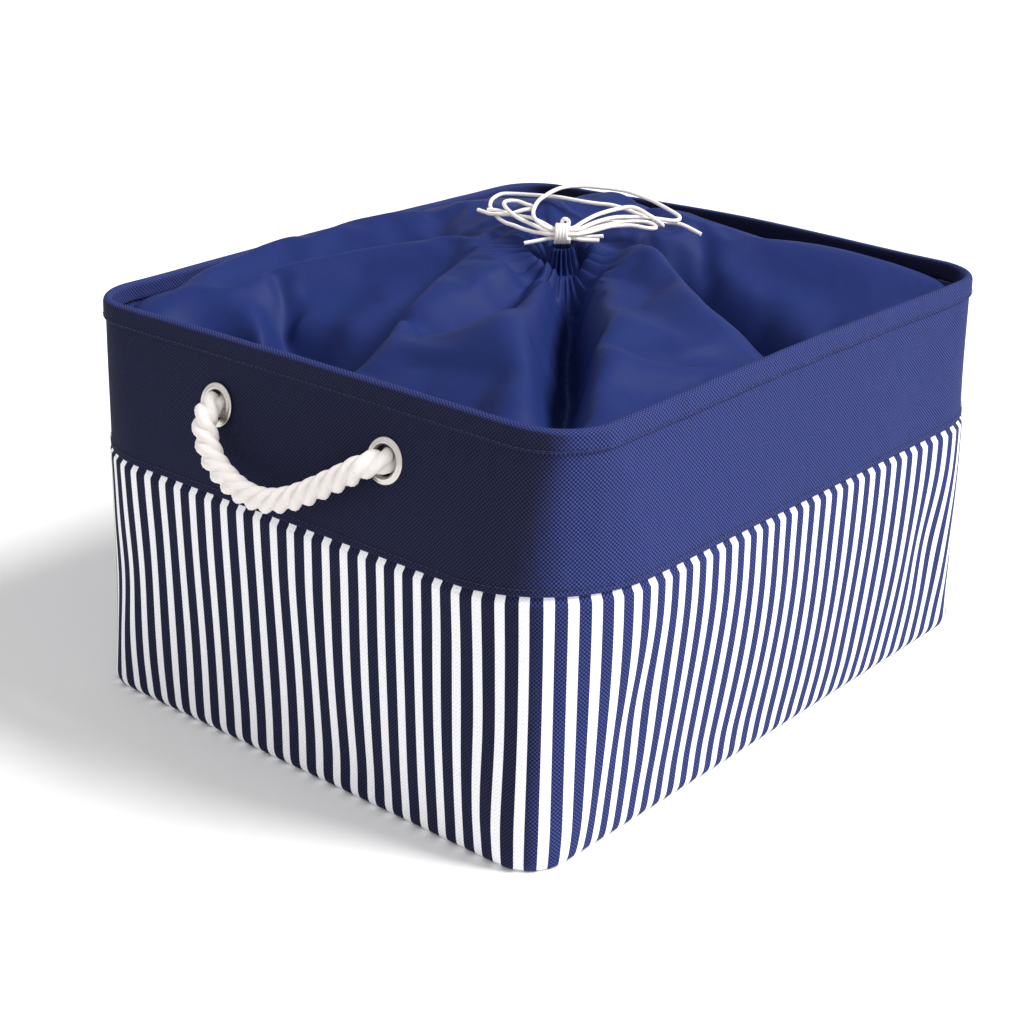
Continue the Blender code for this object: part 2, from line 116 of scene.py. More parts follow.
# The strands in millimetres from the knot's centre, before BOW_TURN: (along, behind, up)
BOW = {
    "drawstring_long_loop": (
        (-5.8, -3, 0), (-8, -2.5, 0), (-12, 0.5, 0), (-16, 4.5, -0.5), (-22.5, 11.5, -0.5),
        (-28, 18, 0), (-33, 24.5, 0), (-37.5, 33.5, 0.5), (-40.5, 45.5, 1), (-43, 56, 2),
        (-43, 65, 3), (-41, 73, 4), (-36, 78.5, 5), (-29, 79, 5), (-21, 75, 5.5),
        (-10.5, 67.5, 6.5), (0, 59, 7.5), (14.5, 50, 7), (23, 47, 6.5), (31.5, 45, 6),
        (39.5, 41.5, 4.5), (46.5, 38, 2.5), (52.5, 35.5, 0.5), (58, 34, -2), (63, 33, -4.5),
        (66.5, 29.5, -6), (63.5, 26, -4), (58.5, 26.5, 1), (53, 28, 4), (49, 30.5, 6),
        (45, 32, 7.5), (40.5, 32, 8), (35.5, 30.5, 7.5), (28, 25.5, 7), (20, 20.5, 5.5),
        (12.5, 12.5, 3.5), (9, 6, 3), (7, 2.5, 2.5), (5.8, 1.6, 2.6),
    ),
    "drawstring_left_loop": (
        (-5.8, 0, 0), (-7.5, 0.5, 0), (-10.5, 4, 0.5), (-14.5, 9, 1.5), (-20, 15.5, 2.5),
        (-25, 21, 3.5), (-29, 26, 5), (-32.5, 32.5, 6.5), (-34.5, 40, 7.5), (-34.5, 47, 8),
        (-31, 51.5, 8), (-26, 49.5, 7.5), (-20.5, 44.5, 6.5), (-15.5, 41.5, 6), (-12.5, 38, 6),
        (-14, 34.5, 6), (-18.5, 32.5, 6.5), (-22.5, 31.5, 6.5), (-27, 31.5, 5), (-32, 32, 3.5),
        (-37.5, 33, 3.5), (-43, 37.5, 2.5), (-50.5, 47.5, 2.5),
    ),
    "drawstring_high_arc": (
        (-5.8, -1.6, 2.6), (-7.5, -1.3, 3), (-10, 0.5, 3.5), (-13, 4.5, 4.5), (-16, 11, 6),
        (-17, 19.5, 7.5), (-16, 28, 9), (-13.5, 38, 10.5), (-9.5, 48, 11), (-5, 57.5, 11.5),
        (0.5, 67, 11.5), (7, 73.5, 11), (15, 76, 10.5), (24, 75, 10), (33, 73, 9.5),
        (42, 70.5, 8.5), (50, 64.5, 7), (57, 58.5, 5.5), (63.5, 51.5, 3.5), (69.5, 44.5, 1.5),
        (73.5, 39.5, 0), (74.5, 35.5, -1), (70.5, 32.5, -1), (64, 32, 0), (53.5, 31.5, 1.5),
        (43, 29.5, 2.5), (32.5, 26.5, 3), (24.5, 21.5, 2.5), (17, 13.5, 2), (12.5, 5.5, 2),
        (9, -0.5, 2.5), (7.5, -1.4, 2.5), (5.8, -1.6, 2.6),
    ),
    "drawstring_right_loop": (
        (5.8, 0, 0), (7.5, 0.2, 0), (10, 2.5, -0.5), (13.5, 7.5, -1), (20, 14, -0.5),
        (28, 20, 0), (36, 24.5, 0.5), (45.5, 26.5, 0.5), (53.5, 25.5, 0), (59.5, 22.5, -1.5),
        (62, 18.5, -3), (58.5, 15.5, -2.5), (50, 17, -1), (42.5, 18.5, 0), (35, 18, 0),
        (28.5, 15.5, 0), (22, 11, -0.5), (16.5, 5.5, -0.5), (12.5, 0.5, 0), (9, -2.5, 0),
        (7.5, -3, 0), (5.8, -3, 0),
    ),
    "drawstring_far_right_tail": (
        (5.8, 2.9, 0), (7, 4.2, 0), (8.5, 8, -1), (11.5, 13.5, -1.5), (18.5, 21, -1),
        (27, 27, -0.5), (36, 32, -1), (45, 34.5, -2), (54, 37, -2.5), (62.5, 38, -3),
        (70, 38.5, -3.5), (76, 37, -5), (85.5, 32.5, -9),
    ),
    "drawstring_upper_right_tail": (
        (5.8, 1.4, -2.5), (10, 3.5, -3.5), (15, 4.5, -3.5), (24.5, 3, -2.5),
    ),
    "drawstring_lower_right_tail": ((5.8, -1.4, -2.5), (12, -1.5, -3.5), (22, -1.5, -4)),
    "drawstring_left_tail": ((-5.8, -1.4, -2.5), (-12.5, -2.5, -3.5), (-22.5, -4, -5)),
    "drawstring_far_left_tail": (
        (-5.8, 1.6, 2.6), (-7, 2.8, 3), (-9.5, 7, 3.5), (-13.5, 13.5, 4), (-18.5, 21.5, 4),
        (-23, 28, 3), (-26, 32, 2.5), (-31, 35.5, 2.5), (-37.5, 39, 4), (-44.5, 44, 3.5),
    ),
}
# Pairs of CAD tails that are one cord through the knot
THROUGH_KNOT = {
    "drawstring_outer_cord": ("drawstring_far_left_tail", "drawstring_upper_right_tail"),
    "drawstring_inner_cord": ("drawstring_left_tail", "drawstring_lower_right_tail"),
}


# Camera ----------------------------------------------------------------------

def add_camera():
    azimuth = math.radians(-48.59)
    elevation = math.radians(22.36)
    distance = 1.359
    target = Vector((0.0615, 0.0809, 0.0515))
    back = Vector((math.sin(azimuth) * math.cos(elevation), -math.cos(azimuth) * math.cos(elevation),
                   math.sin(elevation)))
    data = bpy.data.cameras.new("camera")
    data.lens = 70.5
    data.sensor_width = 36.0
    camera = bpy.data.objects.new("camera", data)
    bpy.context.scene.collection.objects.link(camera)
    camera.location = target + back * distance
    camera.rotation_euler = back.to_track_quat("Z", "Y").to_euler()
    bpy.context.scene.camera = camera


# Materials -------------------------------------------------------------------

CANVAS_PITCH = 0.00115
COVER_PITCH = 0.00034
RIB_PITCH = 0.0021
UNIFORM_SOCKETS = {
    "sheen_weight": "Sheen Weight", "sheen_roughness": "Sheen Roughness",
    "specular": "Specular IOR Level", "subsurface": "Subsurface Weight",
}


class Shader:
    """A small helper that adds and links nodes in one material."""

    def __init__(self, name):
        self.material = bpy.data.materials.new(name)
        self.material.use_nodes = True
        self.tree = self.material.node_tree
        self.bsdf = self.tree.nodes["Principled BSDF"]

    def add(self, kind, **settings):
        node = self.tree.nodes.new(kind)
        for key, value in settings.items():
            setattr(node, key, value)
        return node

    def link(self, source, target):
        self.tree.links.new(source, target)

    def feed(self, socket, value):
        if isinstance(value, bpy.types.NodeSocket):
            self.link(value, socket)
        else:
            socket.default_value = value

    def math(self, operation, *values):
        node = self.add("ShaderNodeMath", operation=operation)
        for socket, value in zip(node.inputs, values):
            self.feed(socket, value)
        return node.outputs[0]

    def mix(self, share, first, second):
        node = self.add("ShaderNodeMix", data_type="RGBA")
        self.feed(node.inputs[0], share)
        self.feed(node.inputs[6], first)
        self.feed(node.inputs[7], second)
        return node.outputs[2]

    def ramp(self, value, low, high):
        node = self.add("ShaderNodeMapRange", interpolation_type="SMOOTHSTEP")
        self.feed(node.inputs[0], value)
        node.inputs[1].default_value = low
        node.inputs[2].default_value = high
        return node.outputs[0]

    def uv(self, name):
        split = self.add("ShaderNodeSeparateXYZ")
        self.link(self.add("ShaderNodeUVMap", uv_map=name).outputs[0], split.inputs[0])
        return split.outputs[0], split.outputs[1]

    def weave(self, pitch, low, high):
        """The cloth's first coordinate, and how far each point stands up in a plain weave."""
        u, v = self.uv("cloth")
        across = self.math("SINE", self.math("MULTIPLY", u, math.pi / pitch))
        along = self.math("SINE", self.math("MULTIPLY", v, math.pi / pitch))
        return u, self.ramp(self.math("MULTIPLY", across, along), low, high)

    def position(self):
        return self.add("ShaderNodeTexCoord").outputs["Object"]

    def noise(self, vector, scale, detail=2.0, roughness=0.5):
        node = self.add("ShaderNodeTexNoise")
        self.link(vector, node.inputs["Vector"])
        node.inputs["Scale"].default_value = scale
        node.inputs["Detail"].default_value = detail
        node.inputs["Roughness"].default_value = roughness
        return node.outputs["Fac"]

    def stretch(self, vector, scale):
        node = self.add("ShaderNodeMapping")
        self.link(vector, node.inputs["Vector"])
        node.inputs["Scale"].default_value = scale
        return node.outputs[0]

    def bump(self, height, strength, distance, below=None):
        node = self.add("ShaderNodeBump")
        node.inputs["Strength"].default_value = strength
        node.inputs["Distance"].default_value = distance
        self.feed(node.inputs["Height"], height)
        if below is not None:
            self.link(below, node.inputs["Normal"])
        return node.outputs[0]

    def finish(self, color, roughness, normal=None, metallic=0.0, **uniform):
        self.feed(self.bsdf.inputs["Base Color"], color)
        self.feed(self.bsdf.inputs["Roughness"], roughness)
        self.bsdf.inputs["Metallic"].default_value = metallic
        for key, value in uniform.items():
            self.bsdf.inputs[UNIFORM_SOCKETS[key]].default_value = value
        if normal is not None:
            self.link(normal, self.bsdf.inputs["Normal"])
        return self.material


def canvas_material(name, stripes):
    """Plain-weave canvas, all navy or in navy and white stripes along the wall's height.

    The side panels, towards +X and -X, carry painted shade, a darker navy chosen by the surface normal, and
    slightly wider navy stripes.
    """
    shader = Shader(name)
    u, crown = shader.weave(CANVAS_PITCH, -0.45, 0.60)
    position = shader.position()
    facing = shader.add("ShaderNodeSeparateXYZ")
    shader.link(shader.add("ShaderNodeTexCoord").outputs["Normal"], facing.inputs[0])
    # side: how far the face turns towards +X or -X, from the surface normal; it sets the painted shade on those
    # faces and widens their navy stripes
    side = shader.ramp(shader.math("ABSOLUTE", facing.outputs[0]), 0.62, 0.90)
    slub = shader.noise(shader.stretch(position, (260.0, 260.0, 60.0)), 1.0, 3.0)
    cloud = shader.noise(position, 9.0, 2.0)
    # Colour follows the weave's height: thread tops lighter and the gaps between them darker, as painted
    # highlight and painted shade
    bright = shader.mix(crown, (0.0050, 0.0070, 0.0280, 1), (0.0460, 0.0630, 0.2300, 1))
    # Painted shade: the darker navy for faces towards +X and -X, mixed in by side here and in the slub tone
    # below
    side_shaded_navy = shader.mix(crown, (0.0035, 0.0040, 0.0120, 1), (0.0200, 0.0225, 0.0600, 1))
    navy = shader.mix(side, bright, side_shaded_navy)
    lighter = shader.mix(side, (0.0560, 0.0750, 0.2500, 1), (0.0260, 0.0290, 0.0700, 1))
    navy = shader.mix(shader.math("MULTIPLY", slub, 0.22), navy, lighter)
    color = navy
    if stripes:
        stripe, _ = shader.uv("stripe")
        phase = shader.math("FRACT", stripe)
        centred = shader.math("ABSOLUTE", shader.math("SUBTRACT", phase, 0.5))
        narrowed = shader.math("MULTIPLY_ADD", side, 0.022, centred)
        white_share = shader.ramp(narrowed, 0.240, 0.228)
        rib = shader.math("SINE", shader.math("MULTIPLY", u, math.tau / RIB_PITCH))
        # Painted highlight and painted shade: white thread tops lighter, the gaps between them greyer
        white = shader.mix(crown, (0.80, 0.80, 0.84, 1), (0.95, 0.95, 0.96, 1))
        white = shader.mix(shader.ramp(rib, 0.3, 1.0), white, (0.86, 0.86, 0.90, 1))
        color = shader.mix(white_share, navy, white)
    color = shader.mix(shader.math("MULTIPLY", cloud, 0.08), color, (0.02, 0.02, 0.05, 1))
    fuzz = shader.noise(position, 2600.0, 2.0, 0.7)
    relief = shader.math("ADD", crown, shader.math("MULTIPLY", fuzz, 0.35))
    normal = shader.bump(relief, 0.55, 0.00022)
    rough = shader.math("MULTIPLY_ADD", slub, 0.1, 0.72)
    return shader.finish(color, rough, normal, specular=0.06)


def coating_material():
    """The pale coating on the inside of the canvas."""
    shader = Shader("inner_coating")
    position = shader.position()
    grain = shader.noise(position, 900.0, 3.0)
    cloud = shader.noise(position, 14.0, 2.0)
    color = shader.mix(cloud, (0.55, 0.56, 0.60, 1), (0.66, 0.67, 0.70, 1))
    return shader.finish(color, 0.5, shader.bump(grain, 0.3, 0.0002))


def cover_material():
    """Thin, tightly woven polyester with a soft sheen."""
    shader = Shader("cover_cloth")
    _, crown = shader.weave(COVER_PITCH, -0.8, 0.9)
    position = shader.position()
    slub = shader.noise(shader.stretch(position, (420.0, 90.0, 420.0)), 1.0, 3.0)
    cloud = shader.noise(position, 22.0, 3.0)
    # Colour follows the weave's height: thread tops lighter and the gaps between them darker, as painted
    # highlight and painted shade
    color = shader.mix(crown, (0.0050, 0.0095, 0.0500, 1), (0.0180, 0.0350, 0.1750, 1))
    color = shader.mix(shader.math("MULTIPLY", slub, 0.22), color, (0.0270, 0.0500, 0.2200, 1))
    color = shader.mix(shader.math("MULTIPLY", cloud, 0.15), color, (0.0045, 0.0070, 0.0330, 1))
    crumple = shader.noise(position, 55.0, 3.0, 0.55)
    normal = shader.bump(crown, 0.25, 0.00008)
    normal = shader.bump(crumple, 0.22, 0.0016, normal)
    rough = shader.math("MULTIPLY_ADD", cloud, 0.12, 0.46)
    return shader.finish(color, rough, normal, specular=0.08)


def rope_material():
    """Cream cotton with fine lighter and darker fibres along the strands."""
    shader = Shader("cotton_rope")
    u, v = shader.uv("cloth")
    position = shader.position()
    fibre_space = shader.add("ShaderNodeCombineXYZ")
    shader.link(shader.math("MULTIPLY", u, 34.0), fibre_space.inputs[0])
    shader.link(shader.math("MULTIPLY", v, 150.0), fibre_space.inputs[1])
    fibre = shader.noise(fibre_space.outputs[0], 1.0, 4.0, 0.65)
    fuzz = shader.noise(position, 1500.0, 3.0, 0.7)
    cloud = shader.noise(position, 60.0, 2.0)
    color = shader.mix(fibre, (0.70, 0.62, 0.58, 1), (0.96, 0.92, 0.91, 1))
    color = shader.mix(shader.math("MULTIPLY", cloud, 0.25), color, (0.88, 0.82, 0.78, 1))
    relief = shader.math("ADD", fibre, shader.math("MULTIPLY", fuzz, 0.4))
    normal = shader.bump(relief, 0.6, 0.0006)
    return shader.finish(color, 0.88, normal, sheen_weight=0.25, sheen_roughness=0.5,
                         specular=0.2, subsurface=0.05)


def nickel_material():
    """Plated eyelets, slightly brushed and dulled."""
    shader = Shader("nickel_plate")
    position = shader.position()
    scratch = shader.noise(shader.stretch(position, (900.0, 900.0, 3500.0)), 1.0, 3.0)
    dull = shader.noise(position, 220.0, 3.0)
    color = shader.mix(dull, (0.50, 0.46, 0.43, 1), (0.68, 0.65, 0.62, 1))
    rough = shader.math("MULTIPLY_ADD", scratch, 0.18, 0.14)
    return shader.finish(color, rough, shader.bump(scratch, 0.12, 0.0001), metallic=1.0)


def grained_material(name, grain, dark, light, rough, relief, tint=None, **uniform):
    """One noise for colour and relief. grain: scale, detail, roughness. tint: scale, share, colour."""
    shader = Shader(name)
    position = shader.position()
    noise = shader.noise(position, *grain)
    color = shader.mix(noise, (*dark, 1), (*light, 1))
    if tint:
        scale, share, tone = tint
        color = shader.mix(shader.math("MULTIPLY", shader.noise(position, scale), share), color, (*tone, 1))
    return shader.finish(color, rough, shader.bump(noise, *relief), **uniform)


def cord_material():
    return grained_material("cotton_cord", (1400.0, 2.0, 0.6), (0.84, 0.78, 0.73), (0.97, 0.94, 0.91), 0.82,
                            (0.7, 0.0004), (90.0, 0.2, (0.82, 0.73, 0.64)), sheen_weight=0.2, specular=0.25)


def steel_material():
    return grained_material("wire_steel", (800.0, 3.0), (0.42, 0.42, 0.43), (0.60, 0.60, 0.61), 0.32,
                            (0.15, 0.0001), metallic=1.0)


def board_material():
    return grained_material("fibreboard", (420.0, 5.0, 0.7), (0.24, 0.17, 0.10), (0.46, 0.35, 0.23), 0.85,
                            (0.4, 0.0003), (12.0, 0.3, (0.33, 0.25, 0.17)))


def thread_material():
    return grained_material("sewing_thread", (2200.0, 2.0), (0.005, 0.006, 0.024), (0.014, 0.018, 0.070), 0.6,
                            (0.5, 0.0001))


def floor_material():
    return Shader("pale_floor").finish((0.93, 0.93, 0.93, 1), 0.75)


# Mesh tools ------------------------------------------------------------------

def new_object(name, mesh, *materials):
    made = bpy.data.objects.new(name, mesh)
    for look in materials:
        mesh.materials.append(look)
    bpy.context.scene.collection.objects.link(made)
    return made


def stand_in(item, node, body):
    """The piece takes a CAD node's place on one body."""
    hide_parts(node)
    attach(item, body)


def subdivide_once(item):
    fine = item.modifiers.new("Fine", "SUBSURF")
    fine.levels = 1
    fine.render_levels = 1


def grid_mesh(name, grid, maps=None, close_rows=False, wrap=True, slots=None):
    """Quads over a (rows, columns, 3) grid. maps: UV name to (rows + close, columns + wrap, 2)."""
    rows, columns = grid.shape[:2]
    row_count = rows if close_rows else rows - 1
    column_count = columns if wrap else columns - 1
    r, c = np.meshgrid(np.arange(row_count), np.arange(column_count), indexing="ij")
    r2, c2 = (r + 1) % rows, (c + 1) % columns
    quads = np.stack([r * columns + c, r * columns + c2, r2 * columns + c2, r2 * columns + c], -1)
    mesh = bpy.data.meshes.new(name)
    mesh.from_pydata(grid.reshape(-1, 3).tolist(), [], quads.reshape(-1, 4).tolist())
    for map_name, values in (maps or {}).items():
        corners = np.stack([values[r, c], values[r, c + 1], values[r + 1, c + 1], values[r + 1, c]], 2)
        layer = mesh.uv_layers.new(name=map_name)
        layer.data.foreach_set("uv", corners.astype(np.float32).ravel())
    if slots is not None:
        mesh.polygons.foreach_set("material_index", np.repeat(slots, column_count).astype(np.int32))
    mesh.update()
    mesh.shade_smooth()
    return mesh


def smoothstep(value):
    value = np.clip(value, 0.0, 1.0)
    return value * value * (3 - 2 * value)


def ripples(turn, height, seed, low, high, count, lean):
    """Soft closed ripples round the bin: sines with whole numbers of waves, between -1 and 1."""
    random = np.random.default_rng(seed)
    total = np.zeros(np.broadcast(turn, height).shape)
    weight = 0.0
    for waves in random.integers(low, high, count):
        amplitude = random.uniform(0.5, 1.0)
        phase = random.uniform(0.0, math.tau)
        slope = random.uniform(-lean, lean)
        total += amplitude * np.sin(math.tau * waves * turn + slope * height + phase)
        weight += amplitude
    return total / weight * 1.8


def ring(half_x, half_y, radius, turns):
    """Points and outward normals at shares of a rounded rectangle's length, from mid back, anticlockwise."""
    flat_x, flat_y = half_x - radius, half_y - radius
    quarter = 0.5 * math.pi * radius
    lengths = [flat_x, quarter, 2 * flat_y, quarter, 2 * flat_x, quarter, 2 * flat_y, quarter, flat_x]
    starts = np.concatenate([[0.0], np.cumsum(lengths)])
    along = (np.asarray(turns) % 1.0) * starts[-1]
    points = np.zeros((len(along), 2))
    normals = np.zeros((len(along), 2))
    straight = {0: ((0, half_y), (-1, 0)), 2: ((-half_x, flat_y), (0, -1)), 4: ((-flat_x, -half_y), (1, 0)),
                6: ((half_x, -flat_y), (0, 1)), 8: ((flat_x, half_y), (-1, 0))}
    arcs = {1: (-flat_x, flat_y, 90), 3: (-flat_x, -flat_y, 180), 5: (flat_x, -flat_y, 270),
            7: (flat_x, flat_y, 0)}
    for part in range(9):
        chosen = (along >= starts[part]) & (along <= starts[part + 1])
        travelled = along[chosen] - starts[part]
        if part in straight:
            origin, heading = straight[part]
            points[chosen] = np.array(origin) + travelled[:, None] * np.array(heading)
            normals[chosen] = (heading[1], -heading[0])
        else:
            centre_x, centre_y, begin = arcs[part]
            angle = math.radians(begin) + travelled / radius
            normals[chosen] = np.stack([np.cos(angle), np.sin(angle)], 1)
            points[chosen] = np.array((centre_x, centre_y)) + radius * normals[chosen]
    return points, normals


def section(height):
    """Outer half sizes and corner radius at a height, as the CAD has them."""
    if height >= SEAM_HEIGHT:
        share = (min(height, HEIGHT) - SEAM_HEIGHT) / (HEIGHT - SEAM_HEIGHT)
        return [a + (b - a) * share ** LEAN_POWER for a, b in zip(SEAM_SIZE, RIM_SIZE)]
    share = math.sin(0.5 * math.pi * height / SEAM_HEIGHT)
    sizes = [a + (b - a) * share for a, b in zip(BASE_SIZE, SEAM_SIZE)]
    if height < EDGE_HEIGHT:
        drop = 1.0 - height / EDGE_HEIGHT
        tuck = EDGE_TUCK * (1.0 - math.sqrt(1.0 - drop * drop))
        sizes = [size - tuck for size in sizes]
    return sizes


def rim_lift(turns):
    """How far the wired rim bows up between its corners."""
    lift = np.zeros(np.shape(turns))
    for middle, rise in RIM_BOWS:
        away = np.abs((np.asarray(turns) - middle + 0.5) % 1.0 - 0.5)
        lift = lift + rise * smoothstep(1.0 - away / 0.115)
    return lift


def lifted(turns, height):
    """Heights round the wall: the seam stays level and the rim follows its bow."""
    share = max(0.0, (height - SEAM_HEIGHT) / (HEIGHT - SEAM_HEIGHT))
    return height + share * rim_lift(turns)


def wall_grid(heights, offsets, turns, relief):
    """Rows round the bin at each height, moved outwards by offset and relief (a function)."""
    rows = []
    for height, offset in zip(heights, offsets):
        points, normals = ring(*section(height), turns)
        push = offset + relief(turns, height)
        flat = points + normals * push[:, None]
        rows.append(np.column_stack([flat, lifted(turns, height)]))
    return np.array(rows)


def smooth_route(points, spacing):
    """Points a set distance apart on a smooth curve through the route's own points."""
    knots = [Vector(point) for point in points]
    knots.insert(0, knots[0] * 2 - knots[1])
    knots.append(knots[-1] * 2 - knots[-2])
    fine = []
    samples = 24
    for index in range(1, len(knots) - 2):
        a, b, c, d = knots[index - 1:index + 3]
        for step in range(samples):
            t = step / samples
            fine.append(0.5 * (2 * b + (c - a) * t + (2 * a - 5 * b + 4 * c - d) * t * t
                               + (3 * b - a - 3 * c + d) * t * t * t))
    fine.append(knots[-2].copy())
    fine = np.array(fine)
    travelled = np.concatenate([[0.0], np.cumsum(np.linalg.norm(np.diff(fine, axis=0), axis=1))])
    count = max(3, round(travelled[-1] / spacing))
    wanted = np.linspace(0.0, travelled[-1], count + 1)
    return np.stack([np.interp(wanted, travelled, fine[:, axis]) for axis in range(3)], 1)


def eased(route, radius):
    """The route with its tightest turns opened out to the radius a limp cord bends to."""
    route = route.copy()
    for _ in range(200):
        steps = np.diff(route, axis=0)
        lengths = np.linalg.norm(steps, axis=1)
        headings = steps / lengths[:, None]
        bend = np.linalg.norm(np.diff(headings, axis=0), axis=1) / ((lengths[:-1] + lengths[1:]) / 2)
        tight = np.convolve(bend * radius > 1, np.ones(7), "same") > 0
        if not tight.any():
            break
        middle = (route[:-2] + route[2:]) / 2
        route[1:-1][tight] += 0.3 * (middle - route[1:-1])[tight]
    return route


def frames_along(route):
    """Two turning-free normals at each point of a route."""
    tangents = np.gradient(route, axis=0)
    tangents /= np.linalg.norm(tangents, axis=1)[:, None]
    first = np.cross(tangents[0], (0.0, 0.0, 1.0))
    if np.linalg.norm(first) < 0.1:
        first = np.cross(tangents[0], (0.0, 1.0, 0.0))
    normal = first / np.linalg.norm(first)
    normals = []
    for tangent in tangents:
        normal = normal - tangent * (normal @ tangent)
        normal = normal / np.linalg.norm(normal)
        normals.append(normal)
    normals = np.array(normals)
    return normals, np.cross(tangents, normals)


# Canvas walls ------------------------------------------------------------------

WALL_COLUMNS = 520
TURNS = np.arange(WALL_COLUMNS) / WALL_COLUMNS
STRIPES = 124
STRIPE_CROWDING = 0.092
CORNER_TURNS = (0.125, 0.375, 0.625, 0.875)


def stripe_count(turn):
    """Stripes passed since mid back; they sit closer together on the long faces."""
    return STRIPES * (turn + STRIPE_CROWDING * np.sin(2 * math.tau * turn) / (2 * math.tau))


def panel_relief(turns, height):
    """The lower wall's soft billows, with buckles beside the corners."""
    inside = smoothstep(height / 0.030) * (0.35 + 0.65 * smoothstep((SEAM_HEIGHT - height) / 0.040))
    billow = 0.0011 * ripples(turns, height, 4, 2, 7, 5, 30.0)
    wave = 0.00045 * ripples(turns, height, 9, 9, 22, 7, 60.0)
    buckle = np.zeros(len(turns))
    middle = math.exp(-((height - 0.078) / 0.034) ** 2)
    for index, corner in enumerate(CORNER_TURNS):
        for side in (-1, 1):
            lean = 0.10 * (height - 0.078)
            place = corner + side * (0.030 + lean)
            width = 0.011 + 0.003 * ((index + side) % 2)
            buckle -= 0.0026 * middle * np.exp(-((turns - place) / width) ** 2)
    return inside * (billow + wave + buckle)


def band_relief(turns, height):
    """The band is flatter, pulled a little by the hem and by the ropes."""
    share = (height - SEAM_HEIGHT) / (HEIGHT - SEAM_HEIGHT)
    middle = math.sin(math.pi * min(1.0, max(0.0, share)))
    billow = 0.0008 * ripples(turns, height, 14, 2, 6, 5, 25.0)
    wave = 0.00028 * ripples(turns, height, 19, 10, 24, 6, 50.0)
    return middle * (billow + wave)


def cloth_maps(heights, lift=0.0):
    """UV maps in metres and in stripes for rows at the given heights."""
    turns = np.arange(WALL_COLUMNS + 1) / WALL_COLUMNS
    travelled = np.array(heights)[:, None] + lift
    cloth = np.stack(np.broadcast_arrays(turns[None] * PERIMETER, travelled), -1)
    stripe = np.stack(np.broadcast_arrays(stripe_count(turns)[None], travelled), -1)
    return {"cloth": cloth, "stripe": stripe}


def build_striped_wall(canvas, coating):
    outer = np.concatenate([[0.0, 0.0007, 0.0018, 0.0035, 0.0060, EDGE_HEIGHT],
                            np.linspace(0.012, SEAM_HEIGHT + 0.007, 56)])
    heights = np.concatenate([outer, outer[::-1]])
    tucked = -0.0024 * smoothstep((outer - SEAM_HEIGHT + 0.0045) / 0.0040)
    offsets = np.concatenate([tucked, tucked[::-1] - PANEL_THICKNESS * 0.6])
    grid = wall_grid(heights, offsets, TURNS, panel_relief)
    maps = cloth_maps(np.concatenate([heights, heights[:1]]))
    slots = np.where(np.arange(len(heights)) < len(outer), 0, 1)
    wall = new_object("striped_wall", grid_mesh("striped_wall", grid, maps, close_rows=True, slots=slots),
                      canvas, coating)
    stand_in(wall, "striped_lower_panel", "base")
    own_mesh(wall)


def eyelet_frames():
    """Placing of each eyelet by name: local Z points out of the leaning wall."""
    step = 0.001
    half_x = section(EYELET_HEIGHT)[0] - BAND_INSET
    lean = math.atan2(section(EYELET_HEIGHT - step)[0] - section(EYELET_HEIGHT + step)[0], 2 * step)
    frames = {}
    for side_name, side in (("left", -1), ("right", 1)):
        for end_name, end in (("front", -1), ("back", 1)):
            turn = Matrix.Rotation(side * (math.pi / 2 - lean), 4, "Y")
            spot = Vector((side * half_x, EYELET_SHIFT + end * EYELET_SPACING / 2, EYELET_HEIGHT))
            frames[f"{side_name}_{end_name}"] = Matrix.Translation(spot) @ turn
    return frames


def build_band(canvas, coating):
    """The navy band: its lower edge is turned under over the stripes, its holes lie under the eyelets."""
    low = SEAM_HEIGHT
    outer = np.concatenate([[low + 0.0010, low + 0.0002, low, low + 0.0003, low + 0.0012, low + 0.0028],
                            np.linspace(low + 0.006, HEIGHT - 0.004, 34)])
    roll = np.concatenate([[-0.0016, -0.0011, -0.0003, 0.0004, 0.0007, 0.0004], np.zeros(34)])
    heights = np.concatenate([outer, outer[::-1][:-4]])
    offsets = np.concatenate([roll - BAND_INSET, np.full(len(outer) - 4, -BAND_INSET - BAND_THICKNESS * 0.8)])
    grid = wall_grid(heights, offsets, TURNS, band_relief)
    maps = cloth_maps(np.concatenate([heights, heights[:1]]))
    slots = np.where(np.arange(len(heights)) < len(outer), 0, 1)
    mesh = grid_mesh("band_wall", grid, maps, close_rows=True, slots=slots)
    band = new_object("band_wall", mesh, canvas, coating)
    for name, placing in eyelet_frames().items():
        bpy.ops.mesh.primitive_cylinder_add(vertices=48, radius=HOLE_RADIUS, depth=0.02)
        cutter = bpy.context.object
        cutter.matrix_world = placing
        cut = band.modifiers.new(name, "BOOLEAN")
        cut.operation = "DIFFERENCE"
        cut.object = cutter
        bpy.context.view_layer.objects.active = band
        bpy.ops.object.modifier_apply(modifier=name)
        bpy.data.objects.remove(cutter)
    stand_in(band, "navy_upper_band", "rim")


